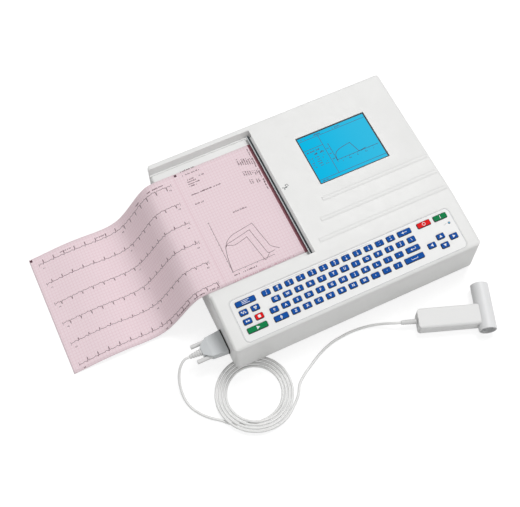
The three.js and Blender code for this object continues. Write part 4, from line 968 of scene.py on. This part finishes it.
shapes = []
for lead in range(6):
    trace_run = np.arange(TRACE_FROM, TRACE_TO, 0.3)
    level = TRACE_TOP + TRACE_STEP * lead
    shapes.append(ribbon(np.stack([trace_run, level - beat_line(trace_run, lead)], 1), TRACE))
    for edge in (TRACE_FROM - 1, LEADS_CHANGE, TRACE_TO):
        shapes.append(ribbon([(edge, level - 3), (edge, level + 3)], 0.4))
        name_from = edge + 2 if edge < LAST_COLUMN else edge - 8
        shapes += text_marks((name_from, level + 7), (name_from + 4, level + 7), 2.2, fill=1)
for start, end in ((168, 186), (190, 196), (216, 228), (300, 322), (362, 380)):
    shapes += text_marks((start, 9.5), (end, 9.5), 2.4)
for start, end in ((158, 176), (182, 200), (212, 246), (262, 268)):
    shapes += text_marks((start, 199), (end, 199), 2.2)
black_squares = [(PERFORATION - 5.5, 1.2), (CHART_LONG - 5.0, 1.2)]
for s, t in black_squares:
    shapes.append((np.array([(s, t), (s + 4, t), (s + 4, t + 4), (s, t + 4)]), [(0, 1, 2, 3)]))


def page_place(x, y):
    """A place on the flat page, from the case's own measures."""
    return CHART_RIGHT - x, CHART_BACK - y


def page_line(points):
    """The same for a line of places."""
    return np.array([page_place(*point) for point in points])


def rounded_line(points, steps=14):
    """A smooth line through a few places on the page."""
    return even_curve(page_line(points), steps)


shapes.append(ribbon(page_line([(-151.5, 204), (-151.5, 113)]), 0.5))
shapes.append(ribbon(page_line([(-153.5, 114.5), (-84, 114.5)]), 0.5))
shapes += [ribbon(page_line([(-153.2, y), (-151.5, y)]), 0.45) for y in np.arange(124.0, 205.0, 9.8)]
shapes += [ribbon(page_line([(x, 112.8), (x, 114.5)]), 0.45) for x in np.arange(-142.0, -84.0, 9.8)]
for grow in (1.0, 0.86, 0.72):
    peak = (-151.5 + 58.5 * grow, 114.5 + 61 * grow)
    less = 1 - grow
    rise = [
        (-151.5, 114.5), (-148.5, 140), (-143, 158 - 6 * less), (-131, 114.5 + 54 * grow),
        (-112 - 12 * less, 114.5 + 58 * grow), peak,
    ]
    fall = [peak, (peak[0] + 7, peak[1] - 36), (peak[0] + 10, peak[1] - 46), (peak[0] + 20, 121.0)]
    shapes += [ribbon(rounded_line(rise), TRACE), ribbon(rounded_line(fall), TRACE)]
for x, y, long in (
    (-155.5, 301, 24), (-155, 293.5, 28), (-152.5, 283.5, 12), (-152, 279.5, 14),
    (-152.5, 275.5, 22), (-152.5, 271.5, 12), (-155.6, 256.5, 48), (-156.5, 239.5, 14),
    (-112.7, 203, 26), (-152, 107.5, 10), (-138, 107.5, 22),
):
    shapes += text_marks(page_place(x, y), page_place(x + long, y), 2.3, fill=0.85)
for x in (-132, -128):
    shapes += text_marks(page_place(x, 283.5), page_place(x + 6, 283.5), 2.2, fill=0.8)
for i, x in enumerate(np.arange(-69.0, -44.0, 3.3)):
    shapes += text_marks(page_place(x, 286 - 1.1 * i), page_place(x, 274 - 1.1 * i), 2.2, fill=0.85)
    shapes += text_marks(page_place(x, 262 - 1.1 * i), page_place(x, 254 - 1.1 * i), 2.2, fill=0.85)
    if i % 3:
        shapes += text_marks(page_place(x, 246 - 1.1 * i), page_place(x, 238 - 1.1 * i), 2.2, fill=0.85)
shapes += text_marks(page_place(-46.5, 296), page_place(-46.5, 218), 1.9, fill=0.55)
printed("chart_traces", shapes, on_chart, trace_ink, "chart_drawer")
rose_ink = finish_of(
    "rose_ink", (0.58, 0.28, 0.36), drift=0.1, roughness=(0.6, 0.7), grain=1500, depth=0.005
)
shapes = text_marks(page_place(-158, 99.0), page_place(-96, 99.0), 1.9, fill=0.8)
shapes += text_marks(page_place(-92, 99.0), page_place(-60, 99.0), 1.9, fill=0.5)
printed("chart_footer", shapes, on_chart, rose_ink, "chart_drawer")

# ---------------------------------------------------------------- lid edge and lid print
# A pressed steel tear plate with a dull grey blade and a near-black bed, which is painted shade of
# the slot beside the lid, and one small printed mark on the lid beside it.
BLADE_WIDE = 1.35
LID_TOP = 90.0
tear_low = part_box("tear_bar")[0]
tear_steel_and_slot_shade = finish_of(
    "tear_steel_and_slot_shade", (0.50, 0.52, 0.53), roughness=(0.45, 0.55), grain=2600, depth=0.01
)
tree = tear_steel_and_slot_shade.node_tree
skin = tree.nodes["Principled BSDF"]
skin.inputs["Specular IOR Level"].default_value = 0.15
place = tree.nodes.new("ShaderNodeTexCoord")
split = tree.nodes.new("ShaderNodeSeparateXYZ")
tree.links.new(place.outputs["Object"], split.inputs[0])
# Painted shade: the bed behind the blade is coloured near black for the shadow in the slot between the blade
# and the lid.
slot_shade_mask = value_of(tree, "GREATER_THAN", split.outputs["X"], tear_low.x + BLADE_WIDE / 1000)
plain = skin.inputs["Base Color"].links[0].from_socket
tree.links.new(shades(tree, slot_shade_mask, plain, (0.018, 0.026, 0.030)), skin.inputs["Base Color"])
dress(nodes["tear_bar"], tear_steel_and_slot_shade)


def on_lid(points, lift=0.02):
    """Places on the lid's flat top, a little above it."""
    flat = np.asarray(points, float)
    return rows_at(np.column_stack([flat, np.full(len(flat), LID_TOP + lift)]))


lid_ink = finish_of(
    "lid_ink", (0.05, 0.06, 0.065), drift=0.1, roughness=(0.5, 0.6), grain=1500, depth=0.005
)
LID_MARK = (-23.0, 204.5)
mark_angle = math.radians(18)
mark = [
    ribbon([(-5.2, 2.4), (-2.4, -0.4), (-4.4, -3.0)], 1.1),
    ribbon([(-2.4, -0.4), (1.2, -1.6)], 1.3),
    ribbon([(1.0, 2.8), (4.6, 2.8), (4.6, -1.0), (1.0, -1.0), (1.0, 2.8)], 0.9),
]
turned_mark = [
    (points @ np.array([
        (math.cos(mark_angle), math.sin(mark_angle)), (-math.sin(mark_angle), math.cos(mark_angle))
    ]), faces)
    for points, faces in mark
]
placed_mark = [moved(shape, *LID_MARK) for shape in turned_mark]
printed("lid_mark", placed_mark, on_lid, lid_ink, "machine")

# ---------------------------------------------------------------- handset
# A breathing-flow sensor: two white half shells with rolled edges, and a clear-bored measuring tube
# pushed across their end.
handset_white = finish_of(
    "handset_white", (0.79, 0.79, 0.785), drift=0.02, roughness=(0.50, 0.60), grain=1600, depth=0.04
)
handset_white.node_tree.nodes["Principled BSDF"].inputs["Specular IOR Level"].default_value = 0.3
for node, name in (("handset_top", "handle_top"), ("handset_bottom", "handle_bottom")):
    shell = soft_edged(node, name, 0.0005, segments=2)
    dress(shell, handset_white)
tube_white = finish_of(
    "tube_white", (0.76, 0.765, 0.77), drift=0.03, roughness=(0.42, 0.52), grain=1100, depth=0.02
)
tube = soft_edged("flow_tube", "measuring_tube", 0.0003, segments=2)
dress(tube, tube_white)

# ---------------------------------------------------------------- plug
# A plug hood in light grey plastic with two thumbscrews and ribbed bend reliefs, on a
# black rubber frame against the case.
plug_grey = finish_of(
    "plug_grey", (0.58, 0.60, 0.61), drift=0.05, roughness=(0.40, 0.50), grain=1500, depth=0.04
)
relief_grey = finish_of(
    "relief_grey", (0.70, 0.70, 0.695), drift=0.04, roughness=(0.50, 0.60), grain=1200, depth=0.03
)
dress(nodes["plug_hood"], plug_grey)
for node in ("plug_boot", "handset_boot", "thumbscrew_front", "thumbscrew_rear"):
    dress(nodes[node], relief_grey)

RIB_PITCH, RIB_START, RIB_COUNT = 3.6, 3.0, 6
RIB_RADIUS, RIB_TUBE = 3.85, 0.42
RIB_TAPER, RIB_AROUND, RIB_SECTION = 0.1, 28, 8
HANDLE_TURN = math.radians(-19.9)
handle_way = np.array([math.cos(HANDLE_TURN), math.sin(HANDLE_TURN), 0.0])
handle_side = np.array([-handle_way[1], handle_way[0], 0.0])
HANDLE_END = np.array([74.5, -47.3, 12.0])


def relief_ring(distance, radius):
    """A ring round the bend relief: a small circle carried round a large one, whose plane stands
    across the handle's line at that distance before the handle."""
    around, section = np.meshgrid(
        np.arange(RIB_AROUND) * math.tau / RIB_AROUND,
        np.arange(RIB_SECTION) * math.tau / RIB_SECTION,
        indexing="ij",
    )
    reach = radius + RIB_TUBE * np.cos(section)
    shift = -distance + RIB_TUBE * np.sin(section)
    return HANDLE_END + (
        shift[..., None] * handle_way
        + (reach * np.cos(around))[..., None] * handle_side
        + (reach * np.sin(around))[..., None] * np.array([0, 0, 1.0])
    )


def closed_rings(name, rings):
    """One mesh of rings that are closed both ways: the last point of each way is joined to the first."""
    verts, faces, start = [], [], 0
    for ring in rings:
        around, section = ring.shape[:2]
        index = start + np.arange(around * section).reshape(around, section)
        beside, above = np.roll(index, -1, 0), np.roll(index, -1, 1)
        corner = np.roll(beside, -1, 1)
        faces += np.stack([index, above, corner, beside], -1).reshape(-1, 4).tolist()
        verts.append(ring.reshape(-1, 3))
        start += around * section
    mesh = bpy.data.meshes.new(name)
    mesh.from_pydata(rows_at(np.concatenate(verts)).tolist(), [], faces)
    shape = bmesh.new()
    shape.from_mesh(mesh)
    bmesh.ops.recalc_face_normals(shape, faces=shape.faces)
    shape.to_mesh(mesh)
    shape.free()
    mesh.shade_smooth()
    piece = bpy.data.objects.new(name, mesh)
    bpy.context.collection.objects.link(piece)
    return piece


relief_ribs = closed_rings("handset_relief_ribs", [
    relief_ring(RIB_START + RIB_PITCH * i, RIB_RADIUS - RIB_TAPER * i) for i in range(RIB_COUNT)
])
dress(relief_ribs, relief_grey)
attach(relief_ribs, nodes["handset_boot"]["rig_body"])

# ---------------------------------------------------------------- what the case holds and stands on
# Boards, supply, battery, motor and the chart recorder's metalwork, the connectors at the back, and
# four rubber feet.
INSIDE = {
    "board_green": ((0.012, 0.13, 0.045), dict(drift=0.25, roughness=(0.32, 0.5), grain=420, depth=0.08)),
    "black_plastic": ((0.016, 0.017, 0.019), dict(drift=0.2, roughness=(0.42, 0.55), grain=1300, depth=0.04)),
    "battery_wrap": ((0.02, 0.06, 0.16), dict(drift=0.15, roughness=(0.25, 0.4), grain=260, depth=0.06)),
    "zinc_steel": (
        (0.56, 0.57, 0.58), dict(drift=0.12, roughness=(0.28, 0.45), grain=700, depth=0.02, metal=1.0)
    ),
    "milled_aluminium": (
        (0.68, 0.69, 0.70), dict(drift=0.06, roughness=(0.25, 0.4), grain=2400, depth=0.02, metal=1.0)
    ),
    "turned_brass": (
        (0.62, 0.42, 0.14), dict(drift=0.1, roughness=(0.22, 0.36), grain=2400, depth=0.01, metal=1.0)
    ),
    "glazed_ceramic": ((0.66, 0.67, 0.68), dict(drift=0.05, roughness=(0.12, 0.22), grain=900, depth=0.01)),
    "black_rubber": ((0.018, 0.018, 0.020), dict(drift=0.2, roughness=(0.68, 0.82), grain=1700, depth=0.06)),
    "gear_acetal": ((0.70, 0.66, 0.56), dict(drift=0.05, roughness=(0.38, 0.5), grain=900, depth=0.02)),
}
WEARS = {
    "board_green": ("keyboard_board", "main_board", "handset_board"),
    "black_plastic": ("screen_module", "mains_inlet", "sensor_socket"),
    "battery_wrap": ("battery_pack",),
    "zinc_steel": (
        "power_supply", "feed_motor", "print_bracket", "head_pivot", "platen_shaft", "patient_socket"
    ),
    "milled_aluminium": ("head_bar",),
    "turned_brass": ("motor_pinion", "roller_bush_front", "roller_bush_back", "earth_stud"),
    "glazed_ceramic": ("print_head",),
    "black_rubber": (
        "platen_roller", "socket_gasket",
        "foot_front_left", "foot_front_right", "foot_rear_left", "foot_rear_right",
    ),
    "gear_acetal": ("platen_gear",),
}
for name, (colour, how) in INSIDE.items():
    finish = finish_of(name, colour, **how)
    for node in WEARS[name]:
        dress(nodes[node], finish)

LEAF_PITCH, LEAF_LINE = 0.0006, 0.0002
pack_pink = finish_of("pack_pink", PAPER_PINK, drift=0.03, roughness=(0.75, 0.85), grain=1500, depth=0.03)
tree = pack_pink.node_tree
skin = tree.nodes["Principled BSDF"]
place = tree.nodes.new("ShaderNodeTexCoord")
split = tree.nodes.new("ShaderNodeSeparateXYZ")
tree.links.new(place.outputs["Object"], split.inputs[0])
leaves = ruled(tree, split.outputs["Z"], LEAF_PITCH, LEAF_LINE)
plain = skin.inputs["Base Color"].links[0].from_socket
tree.links.new(shades(tree, leaves, plain, GRID_PINK), skin.inputs["Base Color"])
dress(nodes["chart_pack"], pack_pink)
